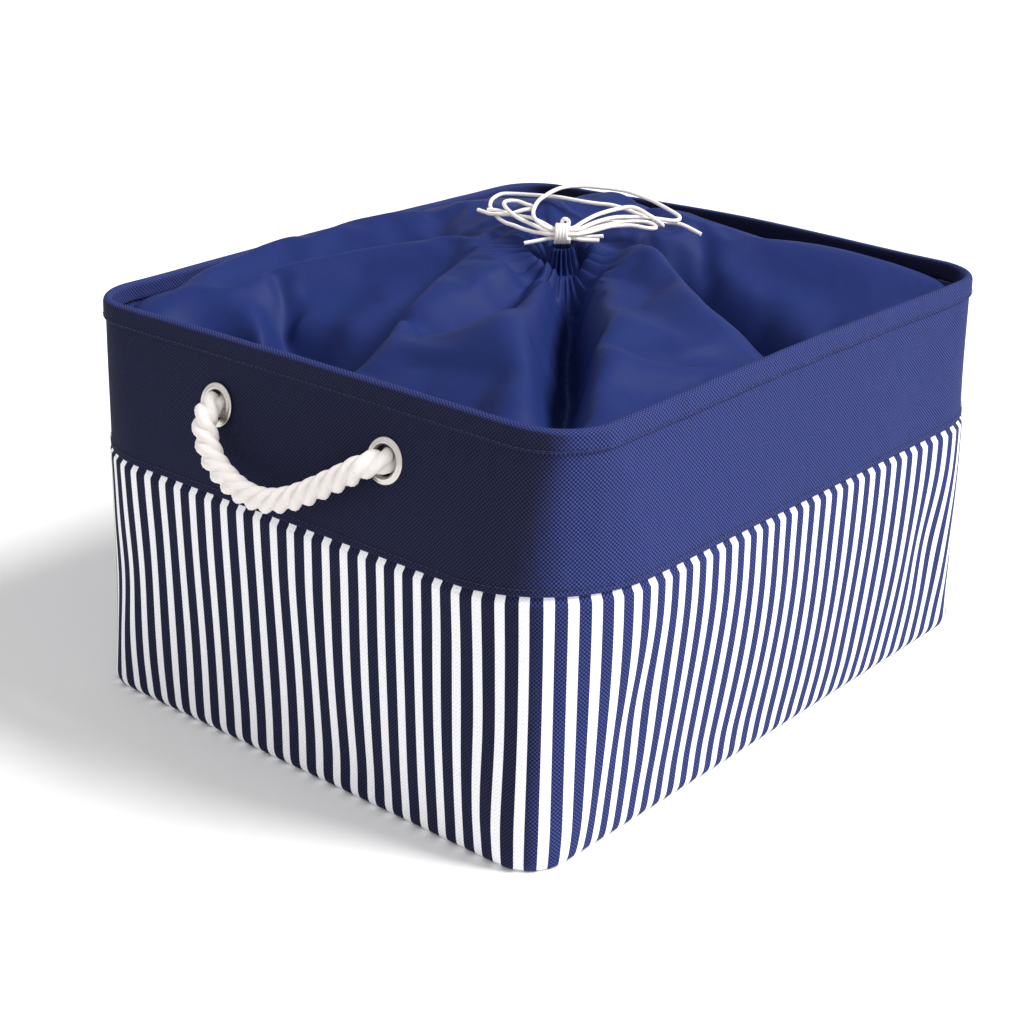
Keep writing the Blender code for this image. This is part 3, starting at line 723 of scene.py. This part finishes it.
def build_hem(canvas):
    """The band's top edge turned over the wire and stitched down."""
    profile = [(HEM_FOOT + 0.0012, 0.0014), (HEM_FOOT + 0.0002, 0.0011), (HEM_FOOT, 0.0006),
               (HEM_FOOT + 0.0004, 0.0002), (HEM_FOOT + 0.0014, 0.0)]
    profile += [(height, 0.0) for height in np.linspace(HEM_FOOT + 0.003, HEIGHT - 0.0036, 5)]
    crown = HEM_WIDTH / 2
    for angle in np.linspace(0.0, math.pi, 13):
        profile.append((HEIGHT - 0.0032 + 0.0032 * math.sin(angle), crown - crown * math.cos(angle)))
    profile += [(height, HEM_WIDTH) for height in np.linspace(HEIGHT - 0.0042, HEM_FOOT + 0.0012, 5)]
    profile += [(HEM_FOOT, HEM_WIDTH - 0.0005), (HEM_FOOT + 0.0006, HEM_WIDTH - 0.0012)]
    inner = [(HEM_FOOT + 0.0040, HEM_WIDTH - 0.0014), (HEIGHT - 0.0030, HEM_WIDTH - 0.0018),
             (HEIGHT - 0.0022, crown), (HEIGHT - 0.0030, 0.0016), (HEM_FOOT + 0.0040, 0.0014)]
    profile += inner
    heights = np.array([height for height, _ in profile])
    offsets = np.array([-inset for _, inset in profile])

    def relief(turns, height):
        ripple = 0.00022 * ripples(turns, height, 23, 14, 60, 9, 90.0)
        near_stitch = math.exp(-((height - HEM_FOOT - 0.0016) / 0.0012) ** 2)
        stitches = 0.00016 * near_stitch * np.sin(math.tau * turns * STITCHES)
        return ripple + stitches

    grid = wall_grid(heights, offsets, TURNS, relief)
    travelled = np.concatenate([[0.0], np.cumsum(np.abs(np.diff(heights)) + np.abs(np.diff(offsets)))])
    maps = cloth_maps(np.append(travelled, travelled[-1]))
    hem = new_object("wired_hem", grid_mesh("wired_hem", grid, maps, close_rows=True), canvas)
    stand_in(hem, "rim_hem", "rim")


def build_stitching(name, height, inset, thread):
    """One row of lockstitch: short thread humps round the bin, each a small tapered tube."""
    sides, rings = 6, 5
    radius, share = 0.00026, 0.78
    vertices, faces = [], []
    turns = []
    for stitch in range(STITCHES):
        for step in range(rings):
            turns.append((stitch + share * step / (rings - 1)) / STITCHES)
    points, normals = ring(*section(height), np.array(turns))
    levels = lifted(np.array(turns), height)
    for index, (point, normal) in enumerate(zip(points, normals)):
        step = index % rings
        hump = math.sin(math.pi * step / (rings - 1))
        thick = radius * (0.35 + 0.65 * hump)
        centre = np.array([*(point + normal * (0.00012 + 0.00022 * hump - inset)), levels[index]])
        out = np.array([*normal, 0.0])
        for side in range(sides):
            angle = math.tau * side / sides
            vertices.append(centre + out * thick * math.cos(angle) + np.array((0, 0, thick * math.sin(angle))))
        if step < rings - 1:
            start = index * sides
            for side in range(sides):
                following = (side + 1) % sides
                faces.append((start + side, start + sides + side, start + sides + following, start + following))
        else:
            faces.append(tuple(index * sides + side for side in range(sides)))
        if step == 0:
            faces.append(tuple(index * sides + side for side in reversed(range(sides))))
    mesh = bpy.data.meshes.new(name)
    mesh.from_pydata([tuple(vertex) for vertex in vertices], [], faces)
    mesh.update()
    mesh.shade_smooth()
    stitching = new_object(name, mesh, thread)
    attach(stitching, "rim")


# Base --------------------------------------------------------------------------

QUILT_PITCH = 0.07


def build_flat_cloth(name, node, low, high, look, quilt):
    """A thin flat cloth with a rolled edge and, where quilt is set, shallow sewn squares."""
    rows = 40
    shares = np.concatenate([np.linspace(0.02, 0.96, rows), [0.985, 0.997, 1.0]])
    box_low, box_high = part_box(node)
    half_x, half_y = box_high.x, box_high.y
    points, _ = ring(half_x, half_y, 0.019, TURNS[::4])
    grid = []
    for side in (1, -1):
        ordered = shares if side > 0 else shares[::-1]
        for share in ordered:
            flat = points * share
            edge = max(0.0, (share - 0.96) / 0.04)
            squares = np.abs(np.prod(np.sin(math.pi * flat / QUILT_PITCH), axis=1))
            puff = 0.55 + 0.45 * squares ** 0.4 if quilt else np.ones(len(flat))
            middle = (low + high) / 2
            half = (high - low) / 2 * math.sqrt(max(0.0, 1 - edge * edge))
            level = middle + half * puff if side > 0 else np.full(len(flat), middle - half)
            grid.append(np.column_stack([flat, level]))
    grid = np.array(grid)[::-1]
    maps = {"cloth": np.concatenate([grid[..., :2], grid[:, :1, :2]], 1)}
    mesh = grid_mesh(name, grid, maps)
    cloth = new_object(name, mesh, look)
    fill_ends(cloth)
    stand_in(cloth, node, "base")


def fill_ends(item):
    """Closes the open rings that a grid leaves."""
    work = bmesh.new()
    work.from_mesh(item.data)
    bmesh.ops.holes_fill(work, edges=work.edges, sides=0)
    bmesh.ops.recalc_face_normals(work, faces=work.faces)
    work.to_mesh(item.data)
    work.free()


# Cover -------------------------------------------------------------------------

COVER_COLUMNS = 320
COVER_ROWS = 84
NECK_RADIUS = 0.0100
NECK_HEIGHT = 0.2462
COVER_EDGE = HEM_FOOT - 0.0006

# The cover's cut: four panels that taper from the hem to the casing
COVER_AROUND = 1.49
COVER_SLANT = 0.19

# Crests, folds and hollows of the cover as the filling pushes it up, in millimetres: (x, y, height)
COVER_FORM = {
    "left_crest": ((-181, 147, 234), (-150, 140, 239), (-126, 131, 243), (-99, 124, 247),
                   (-66, 109, 251), (-36, 91, 255), (-12, 66, 259), (-6, 42, 260.5), (-4, 18, 260)),
    "left_flap": ((-151, 154, 240), (-124, 158, 244), (-76, 168, 247), (-48, 163, 250),
                  (-17, 152, 253), (11, 136, 257), (39, 111, 261.5), (38, 82, 264.5)),
    "left_strip": ((-124, 142, 236), (-100, 142, 237), (-72, 136, 239), (-44, 122, 242),
                   (-18, 104, 246), (4, 84, 252)),
    "flap_fold": ((38, 134, 255), (27, 112, 255), (13, 86, 256), (2, 60, 259)),
    "hollow_face": ((-129, 122, 235), (-92, 110, 237), (-62, 92, 241), (-34, 66, 248)),
    "hollow_floor": ((-168, 120, 206), (-150, 95, 192), (-130, 70, 188), (-138, 40, 192),
                     (-160, 18, 202)),
    "hollow_rim": ((-184, 110, 220), (-184, 60, 217), (-182, 20, 218)),
    "hollow_mid": ((-114, 96, 223), (-90, 80, 227), (-68, 62, 236), (-104, 60, 224)),
    "hollow_crease": ((-101, 122, 237), (-116, 98, 208), (-134, 66, 184), (-160, 50, 194)),
    "hollow_roll": ((-124, 123, 238), (-142, 96, 221), (-162, 76, 216)),
    "a_left": ((-26, 38, 255), (-70, 25, 252), (-106, 10, 247), (-136, -2, 239), (-156, -6, 230)),
    "a_left_foot": ((-36, 50, 243), (-74, 40, 229), (-108, 28, 218), (-138, 12, 212)),
    "a_pillow": ((-22, 16, 258), (-42, 20, 257), (-62, 20, 254), (-60, 2, 253), (-92, 6, 250),
                 (-33, 2, 255.5)),
    "a_crease": ((-110, 8, 239), (-110, -6, 235), (-91, -17, 234.5), (-63, -20, 236),
                 (-34, -10, 240), (-14, -2, 247)),
    "a_panel_top": ((-130, -14, 240), (-122, -34, 244.5), (-104, -44, 248), (-78, -43, 249),
                    (-50, -32, 250), (-22, -14, 250)),
    "a_panel_low": ((-160, -34, 233), (-152, -66, 238), (-150, -94, 238), (-172, -60, 228),
                    (-174, -100, 228)),
    "valley_left": ((-12, -12, 250), (-58, -46, 248), (-98, -79, 245), (-132, -105, 241),
                    (-162, -128, 234)),
    "valley_left_wall": ((-10, -18, 238), (-52, -50, 232), (-92, -84, 226), (-128, -111, 222)),
    "valley_floor": ((-3, -21, 228), (-22, -38, 212), (-48, -57, 206), (-84, -88, 203),
                     (-120, -116, 206), (-150, -140, 213), (-170, -156, 221)),
    "valley_right_wall": ((2, -28, 240), (-42, -64, 233), (-78, -94, 227), (-112, -120, 222)),
    "valley_right": ((12, -32, 251), (-33, -69, 250), (-75, -102, 247), (-110, -126, 243),
                     (-138, -147, 238), (-160, -162, 231)),
    "r_crest": ((24, -24, 256.5), (36, -24, 257), (44, -38, 256.5), (38, -62, 254.5),
                (13, -98, 251), (-3, -127, 246), (-8, -150, 239), (-14, -166, 232)),
    "r_body": ((7, -54, 253), (-2, -82, 252), (-34, -92, 250.5), (-42, -120, 249.5), (-41, -145, 245),
               (-86, -128, 246.5), (-86, -152, 243.5), (-76, -166, 236), (-124, -154, 240),
               (-120, -168, 233)),
    "right_valley": ((54, -24, 244), (62, -38, 216), (66, -58, 188), (52, -88, 174), (36, -114, 172),
                     (24, -138, 182), (18, -160, 200)),
    "right_low": ((92, -66, 229), (92, -96, 218), (84, -125, 213), (68, -150, 212),
                  (121, -129, 222), (112, -158, 220)),
    "right_slope": ((104, -54, 242), (118, -78, 237), (130, -105, 233), (145, -138, 230),
                    (158, -158, 229)),
    "right_crest": ((38, 2, 258), (63, -5, 258), (86, -19, 256), (108, -35, 253.5),
                    (122, -58, 250.5), (137, -82, 247.5), (157, -120, 243), (171, -149, 237),
                    (183, -165, 233)),
    "right_back": ((150, -50, 246), (150, -10, 250), (176, -60, 235), (176, -10, 237),
                   (174, 50, 239), (174, 100, 238)),
    "back_b": ((68, 26, 266), (84, 29, 268), (97, 32, 269), (115, 34, 268), (116, 12, 264.5),
               (108, -2, 260.5), (96, -14, 257.5), (138, 50, 258)),
    "back_puff": ((38, 38, 268), (46, 44, 271), (56, 48, 272.5), (62, 42, 272), (54, 28, 269),
                  (42, 28, 268)),
    "back_gap": ((66, 62, 264), (88, 82, 257), (112, 102, 249)),
    "back_flap": ((66, 96, 262), (92, 118, 255), (124, 132, 248), (146, 96, 249), (100, 66, 262)),
    "neck_left": ((0, 9, 259.5), (-5, 0, 260), (-3, -9, 258), (1, -17, 247)),
    "neck_right": ((24, -8, 260), (21, -15, 260), (13, -18.5, 258), (7, -20, 249)),
    "knot_seat": ((26, 12, 263), (30, -4, 260), (30, 24, 265), (14, 20, 262), (-8, 6, 257)),
}
# Pleats where the cover runs into the casing: how many, how deep and where
COVER_PLEATS = 13
PLEAT_DEPTH = 0.0042
PLEAT_RADIUS = 0.012
PLEAT_REACH = 0.020
# The cloth simulation: share of spare cloth, how strongly the form holds it, and its frames
COVER_SLACK = 0.014
SOFT_HOLD = 0.20
SETTLE_FRAMES = 24
# Rows at the hem and at the neck that don't move while the cloth settles
HELD_ROWS = (2, 4)


def filled_line(line, spacing=9.0):
    """A polyline with points no further apart than the spacing."""
    line = np.array(line, float)
    filled = [line[:1]]
    for start, end in zip(line[:-1], line[1:]):
        steps = max(1, int(np.hypot(*(end - start)[:2]) / spacing))
        filled.append(start + (end - start) * np.arange(1, steps + 1)[:, None] / steps)
    return np.concatenate(filled)


def spread_form(x, y):
    """Heights of a smooth thin plate through every line of the cover's form and its sewn edge."""
    edge, _ = ring(*cover_edge_size(), np.arange(90) / 90)
    neck_angles = np.arange(12) / 12 * math.tau
    spots = [point for line in COVER_FORM.values() for point in filled_line(line)]
    spots += [(1000 * px, 1000 * py, 1000 * COVER_EDGE) for px, py in edge]
    spots += [(1000 * (NECK[0] + NECK_RADIUS * math.cos(a)), 1000 * (NECK[1] + NECK_RADIUS * math.sin(a)),
               1000 * NECK_HEIGHT) for a in neck_angles]
    spots = np.array(spots) * MILLIMETRE
    count = len(spots)

    def kernel(squared):
        return 0.5 * squared * np.log(squared + 1e-12)

    def squared_gaps(px, py):
        return (px[:, None] - spots[None, :, 0]) ** 2 + (py[:, None] - spots[None, :, 1]) ** 2

    system = np.zeros((count + 3, count + 3))
    system[:count, :count] = kernel(squared_gaps(spots[:, 0], spots[:, 1])) + np.eye(count) * 2e-5
    plane = np.column_stack([np.ones(count), spots[:, :2]])
    system[:count, count:] = plane
    system[count:, :count] = plane.T
    weights = np.linalg.solve(system, np.concatenate([spots[:, 2], np.zeros(3)]))
    flat_x, flat_y = np.ravel(x), np.ravel(y)
    heights = np.zeros(len(flat_x))
    for start in range(0, len(flat_x), 4000):
        part = slice(start, start + 4000)
        heights[part] = kernel(squared_gaps(flat_x[part], flat_y[part])) @ weights[:count]
    heights += weights[count] + weights[count + 1] * flat_x + weights[count + 2] * flat_y
    return heights.reshape(np.shape(x))


def cover_edge_size():
    half_x, half_y, corner = section(HEM_FOOT)
    inset = HEM_WIDTH - 0.0004
    return half_x - inset, half_y - inset, corner - inset


def cover_grid(columns, rows):
    """The cover from rim to neck: plan rings between the sewn edge and the neck, lifted to the form."""
    edge, _ = ring(*cover_edge_size(), np.arange(columns) / columns)
    half_x, half_y, _ = cover_edge_size()
    angles = np.arctan2(edge[:, 1] / half_y, edge[:, 0] / half_x)
    neck = np.array(NECK) + NECK_RADIUS * np.column_stack([np.cos(angles), np.sin(angles)])
    shares = 1 - np.linspace(0.0, 1.0, rows) ** 1.1
    plan = neck[None] + (edge - neck)[None] * shares[:, None, None]
    x, y = plan[..., 0], plan[..., 1]
    level = spread_form(x, y)
    far = shares[:, None]
    level = COVER_EDGE + (level - COVER_EDGE) * smoothstep((1 - far) / 0.06 + 0.001)
    level = level + rim_lift(np.arange(columns) / columns)[None] * far ** 4
    radius = np.hypot(x - NECK[0], y - NECK[1])
    around = np.arctan2(y - NECK[1], x - NECK[0])
    fold = np.abs(np.sin(COVER_PLEATS * around + 1.3 * np.sin(3 * around)))
    level = level - PLEAT_DEPTH * (1 - fold) * np.exp(-((radius - PLEAT_RADIUS) / PLEAT_REACH) ** 2)
    level = np.where(far < 0.02, NECK_HEIGHT, level)
    return np.dstack([x, y, level]), shares


def settle_cloth(cloth):
    """Lets slack cloth wrinkle about its form: the sewn edge and the neck stay where they are."""
    scene = bpy.context.scene
    count = len(cloth.data.vertices)
    group = cloth.vertex_groups.new(name="held")
    group.add(range(count), SOFT_HOLD, "REPLACE")
    first, last = HELD_ROWS
    group.add(range(first * COVER_COLUMNS), 1.0, "REPLACE")
    group.add(range(count - last * COVER_COLUMNS, count), 1.0, "REPLACE")
    settle = cloth.modifiers.new("Settle", "CLOTH")
    settings = settle.settings
    settings.quality = 6
    settings.mass = 0.12
    settings.tension_stiffness = 25.0
    settings.compression_stiffness = 25.0
    settings.shear_stiffness = 8.0
    settings.bending_stiffness = 50.0
    settings.air_damping = 6.0
    settings.vertex_group_mass = group.name
    settings.pin_stiffness = 1.0
    settings.shrink_min = -COVER_SLACK
    settings.effector_weights.gravity = 0.25
    settle.collision_settings.use_collision = False
    settle.point_cache.frame_end = SETTLE_FRAMES
    for frame_number in range(1, SETTLE_FRAMES + 1):
        scene.frame_set(frame_number)
    settled = cloth.evaluated_get(bpy.context.evaluated_depsgraph_get())
    places = np.zeros(count * 3, np.float32)
    settled.data.vertices.foreach_get("co", places)
    cloth.modifiers.remove(settle)
    cloth.data.vertices.foreach_set("co", places)
    cloth.data.update()
    cloth.vertex_groups.clear()
    scene.frame_set(1)


def build_cover(look):
    grid, shares = cover_grid(COVER_COLUMNS, COVER_ROWS)
    columns = np.arange(COVER_COLUMNS + 1) / COVER_COLUMNS * COVER_AROUND
    across = (1 - shares)[:, None] * COVER_SLANT
    maps = {"cloth": np.stack(np.broadcast_arrays(columns[None], across), -1)}
    cover = new_object("gathered_cover", grid_mesh("gathered_cover", grid, maps), look)
    settle_cloth(cover)
    subdivide_once(cover)
    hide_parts("cover_cloth")
    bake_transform(cover)


def build_casing(look):
    """The drawn-up tunnel: uneven pleats pulled in tightly under the cord's wraps."""
    columns, pleats = 448, 17
    turns = np.arange(columns) / columns
    wobble = 0.9 * np.sin(math.tau * turns * 3 + 1.0) + 0.5 * np.sin(math.tau * turns * 7)
    fold = np.sin(math.tau * turns * pleats + wobble)
    uneven = 0.75 + 0.25 * np.sin(math.tau * turns * 5 + 2.0)
    base, top = CASING_LOW.z, CASING_HIGH.z
    profile = [(0.0122, base - 0.0050, 0.6), (0.0108, base - 0.0030, 1.1), (0.0090, base + 0.0005, 1.4),
               (0.0078, base + 0.0040, 1.4), (0.0072, base + 0.0075, 1.3), (0.0070, top - 0.0036, 1.1),
               (0.0066, top - 0.0018, 0.9), (0.0060, top - 0.0012, 0.7), (0.0055, top - 0.0016, 0.5),
               (0.0050, top - 0.0040, 0.4), (0.0048, base + 0.0030, 0.3)]
    rows = []
    for radius, level, depth in profile:
        reach = radius + depth * 0.0014 * fold * uneven
        rows.append(np.column_stack([NECK[0] + reach * np.cos(math.tau * turns),
                                     NECK[1] + reach * np.sin(math.tau * turns),
                                     level + 0.0007 * depth * fold]))
    grid = np.array(rows)
    around = np.arange(columns + 1) / columns * COVER_AROUND
    tunnel = np.linspace(0, 0.03, len(profile))[:, None]
    maps = {"cloth": np.stack(np.broadcast_arrays(around[None], tunnel), -1)}
    casing = new_object("gathered_mouth", grid_mesh("gathered_mouth", grid, maps), look)
    subdivide_once(casing)
    stand_in(casing, "mouth_casing", "cover_mouth")


# Drawstring --------------------------------------------------------------------

def bow_point(point):
    turn = Matrix.Rotation(BOW_TURN, 3, "Z")
    return turn @ (Vector(point) * MILLIMETRE) + KNOT_CENTRE


def add_cord_curve(name, route, diameter, look):
    curve = bpy.data.curves.new(name, "CURVE")
    curve.dimensions = "3D"
    curve.bevel_depth = diameter / 2
    curve.bevel_resolution = 3
    curve.use_fill_caps = True
    spline = curve.splines.new("POLY")
    spline.points.add(len(route) - 1)
    for target, point in zip(spline.points, route):
        target.co = (*point, 1.0)
    spline.use_smooth = True
    curve.materials.append(look)
    made = bpy.data.objects.new(name, curve)
    bpy.context.scene.collection.objects.link(made)
    return made


def into_knot(point):
    """Where a strand that enters the knot at this point ends inside it."""
    side = 1 if point[0] > 0 else -1
    return (point[0] - side * 4.0, point[1] * 0.6, point[2] * 0.75)


def add_strand(name, points, nodes, look):
    route = eased(smooth_route([bow_point(point) for point in points], 0.0012), 2.1 * CORD_DIAMETER)
    strand = add_cord_curve(name, route, CORD_DIAMETER, look)
    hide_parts(*nodes)
    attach(strand, "cover_mouth")


def build_drawstring(look):
    """Every strand runs on into the knot; the short tails run right through it."""
    knot = build_knot(look)
    tails = []
    for name, (left, right) in THROUGH_KNOT.items():
        tails += [left, right]
        points = BOW[left][::-1] + BOW[right]
        add_strand(name, points, (left, right), look)
    for name, route in BOW.items():
        if name in tails:
            continue
        loop = abs(route[-1][0]) < 7.5
        points = [into_knot(route[0]), *route] + ([into_knot(route[-1])] if loop else [])
        add_strand(f"{name}_cord", points, (name,), look)


def build_knot(look):
    """Four turns of the cord wound round the bundle, with a small bight standing on top."""
    points = []
    turns, steps = 4.2, 26
    for step in range(int(turns * steps) + 1):
        share = step / (turns * steps)
        angle = math.tau * step / steps - math.pi / 2
        points.append((-3.9 + 7.8 * share, -5.0 * math.cos(angle) - 0.4, 5.2 * math.sin(angle)))
    wraps = smooth_route([bow_point(point) for point in points], 0.0010)
    wound = add_cord_curve("drawstring_wraps", wraps, CORD_DIAMETER, look)
    bight = [(0.2, 2.0, 3.4), (0.0, 1.2, 6.6), (1.0, 0.6, 8.4), (2.6, 0.4, 8.4), (3.8, 0.8, 6.8),
             (3.6, 1.6, 3.4)]
    small = add_cord_curve("drawstring_bight", smooth_route([bow_point(p) for p in bight], 0.0008),
                           CORD_DIAMETER, look)
    for item in (wound, small):
        stand_in(item, "drawstring_knot", "cover_mouth")
    return [wound, small]


def build_hidden_cord(look):
    """The turn of cord inside the casing."""
    low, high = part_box("drawstring_in_casing")
    radius = 0.26 * (high.x - low.x - CORD_DIAMETER) / 2
    angles = np.linspace(0.0, math.tau * 0.97, 90)
    route = np.column_stack([NECK[0] + radius * np.cos(angles), NECK[1] + radius * np.sin(angles),
                             np.full(len(angles), (low.z + high.z) / 2)])
    hidden = add_cord_curve("drawstring_turn", route, CORD_DIAMETER, look)
    stand_in(hidden, "drawstring_in_casing", "cover_mouth")


# Rope handles --------------------------------------------------------------------

def rope_mesh(name, route, diameter):
    """A left-laid three-strand rope: the section is three merged circles that wind along the route."""
    columns = 84
    normals, sides = frames_along(route)
    travelled = np.concatenate([[0.0], np.cumsum(np.linalg.norm(np.diff(route, axis=0), axis=1))])
    around = np.arange(columns) / columns * math.tau
    spread, strand = 0.43 * diameter / 2, 0.57 * diameter / 2
    rows = []
    for index, centre in enumerate(route):
        lay = -math.tau * travelled[index] / ROPE_LAY
        across = (around - lay) % (math.tau / 3) - math.pi / 3
        reach = spread * np.cos(across) + np.sqrt(strand ** 2 - (spread * np.sin(across)) ** 2)
        yarn = np.sin(across * 9 + travelled[index] * 900)
        reach = reach + 0.00011 * yarn
        rows.append(centre + np.outer(reach * np.cos(around), normals[index])
                    + np.outer(reach * np.sin(around), sides[index]))
    grid = np.array(rows)
    columns_uv = np.arange(columns + 1) / columns
    winding = columns_uv[None] * 3 + (travelled / ROPE_LAY * 3)[:, None]
    lengthwise = np.broadcast_to(travelled[:, None], winding.shape)
    return grid_mesh(name, grid, {"cloth": np.stack([winding, lengthwise * 6 + winding * 0.1], -1)})


def build_ropes(look):
    """Each handle runs from stopper knot to stopper knot; its loop hangs tilted about the handle's pivot and
    its ends stay in the wall.
    """
    placing = eyelet_frames()
    for side_name, side in (("left", -1), ("right", 1)):
        back_name = f"{side_name}_{'back' if side < 0 else 'front'}"
        front_name = f"{side_name}_{'front' if side < 0 else 'back'}"
        tilt = Matrix.Rotation(-side * HANG_ANGLE, 3, "Y")
        pivot = Vector((side * PIVOT.x, PIVOT.y, PIVOT.z))
        loop = [pivot + tilt @ Vector((0.0, side * -along, -down)) for along, down in HANDLE_ROUTE[1:-1]]
        start = [placing[back_name] @ Vector((0, 0, depth)) for depth in (-0.0075, -0.001, 0.0050)]
        end = [placing[front_name] @ Vector((0, 0, depth)) for depth in (0.0050, -0.001, -0.0075)]
        route = smooth_route(start + loop + end, 0.0007)
        rope = new_object(f"rope_{side_name}", rope_mesh(f"rope_{side_name}", route, ROPE_DIAMETER), look)
        fill_ends(rope)
        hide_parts(f"rope_handle_{side_name}")
        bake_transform(rope)
        knots = [build_stopper(f"{side_name}_{end_name}", placing[f"{side_name}_{end_name}"], look)
                 for end_name in ("front", "back")]


def build_stopper(name, placing, look):
    """An overhand stopper knot drawn tight inside the wall."""
    points = []
    for step in range(61):
        angle = math.tau * step / 60 * 0.94
        points.append(Vector((0.0062 * (math.sin(angle) + 1.35 * math.sin(2 * angle)),
                              0.0062 * (math.cos(angle) - 1.35 * math.cos(2 * angle)),
                              -0.0165 - 0.0050 * math.sin(3 * angle))))
    route = smooth_route([placing @ point for point in points], 0.0012)
    knot = new_object(f"rope_knot_{name}", rope_mesh(f"rope_knot_{name}", route, ROPE_DIAMETER * 0.62), look)
    fill_ends(knot)
    stand_in(knot, f"rope_end_{name}", "rim")
    return knot


# Eyelets ---------------------------------------------------------------------------

def turned_mesh(name, profile, steps):
    """A closed (radius, height) profile turned round Z."""
    angles = np.arange(steps) / steps * math.tau
    rows = [np.column_stack([radius * np.cos(angles), radius * np.sin(angles), np.full(steps, height)])
            for radius, height in profile]
    return grid_mesh(name, np.array(rows)[::-1], close_rows=True)


def build_eyelets(look):
    rolled = [(0.0126, 0.0010), (0.0124, 0.0006), (0.0088, 0.0007), (0.0086, 0.0002), (0.0086, -0.0042),
              (0.0081, -0.0044), (0.0080, 0.0000), (0.0081, 0.0012), (0.0086, 0.0021), (0.0093, 0.0026),
              (0.0101, 0.0024), (0.0108, 0.0020), (0.0116, 0.0021), (0.0123, 0.0018), (0.0126, 0.0014)]
    washer = [(0.0126, -0.0028), (0.0128, -0.0031), (0.0124, -0.0034), (0.0100, -0.0037), (0.0090, -0.0034),
              (0.0090, -0.0029), (0.0100, -0.0026)]
    for name, placing in eyelet_frames().items():
        for kind, profile in (("grommet", rolled), ("washer", washer)):
            made = new_object(f"{kind}_metal_{name}", turned_mesh(f"{kind}_{name}", profile, 64), look)
            subdivide_once(made)
            made.matrix_world = placing
            stand_in(made, f"{kind}_{name}", "rim")


# Stage -------------------------------------------------------------------------------

KEY_ENERGY = 4.3
KEY_ANGLE = math.radians(24.0)
KEY_DIRECTION = Vector((0.42, -0.74, 0.80))


def build_stage():
    """A pale floor, an even sky that is brighter on the handle's side, and a soft key light."""
    bpy.ops.mesh.primitive_plane_add(size=14.0)
    floor = bpy.context.object
    floor.name = "floor"
    floor.data.materials.append(floor_material())
    world = bpy.data.worlds.new("studio")
    world.use_nodes = True
    tree = world.node_tree
    direction = tree.nodes.new("ShaderNodeTexCoord")
    parts = tree.nodes.new("ShaderNodeSeparateXYZ")
    fade = tree.nodes.new("ShaderNodeMapRange")
    fade.interpolation_type = "SMOOTHSTEP"
    for socket, value in (("From Min", -0.75), ("From Max", 0.15), ("To Min", 0.95), ("To Max", 0.50)):
        fade.inputs[socket].default_value = value
    tree.links.new(direction.outputs["Generated"], parts.inputs[0])
    tree.links.new(parts.outputs["X"], fade.inputs["Value"])
    tree.links.new(fade.outputs[0], tree.nodes["Background"].inputs["Strength"])
    tree.nodes["Background"].inputs["Color"].default_value = (1.0, 1.0, 1.0, 1.0)
    bpy.context.scene.world = world
    bpy.context.scene.view_settings.view_transform = "Standard"
    data = bpy.data.lights.new("key", "SUN")
    data.energy = KEY_ENERGY
    data.angle = KEY_ANGLE
    lamp = bpy.data.objects.new("key", data)
    bpy.context.scene.collection.objects.link(lamp)
    lamp.rotation_euler = KEY_DIRECTION.to_track_quat("Z", "Y").to_euler()


def dress_plain_nodes():
    """The wire hoop and the base board keep their CAD meshes."""
    for node, look in (("rim_wire", steel_material()), ("base_board", board_material())):
        item = frame["nodes"][node]
        item.data.materials.clear()
        item.data.materials.append(look)


add_camera()
CORD = cord_material()
ROPE = rope_material()
NAVY_CANVAS = canvas_material("navy_canvas", stripes=False)
STRIPED_CANVAS = canvas_material("striped_canvas", stripes=True)
COATING = coating_material()
COVER_CLOTH = cover_material()
build_drawstring(CORD)
build_hidden_cord(CORD)
build_ropes(ROPE)
build_striped_wall(STRIPED_CANVAS, COATING)
build_band(NAVY_CANVAS, COATING)
build_hem(NAVY_CANVAS)
THREAD = thread_material()
build_stitching("hem_stitching", HEM_FOOT + 0.0016, 0.0, THREAD)
build_stitching("seam_stitching", SEAM_HEIGHT + 0.0040, BAND_INSET - 0.0003, THREAD)
build_flat_cloth("bottom_cloth", "bottom_fabric", 0.0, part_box("bottom_fabric")[1].z, NAVY_CANVAS,
                 False)
build_flat_cloth("floor_cloth", "floor_lining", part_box("floor_lining")[0].z, FLOOR_TOP, COATING,
                 True)
build_cover(COVER_CLOTH)
build_casing(COVER_CLOTH)
build_eyelets(nickel_material())
dress_plain_nodes()
build_stage()
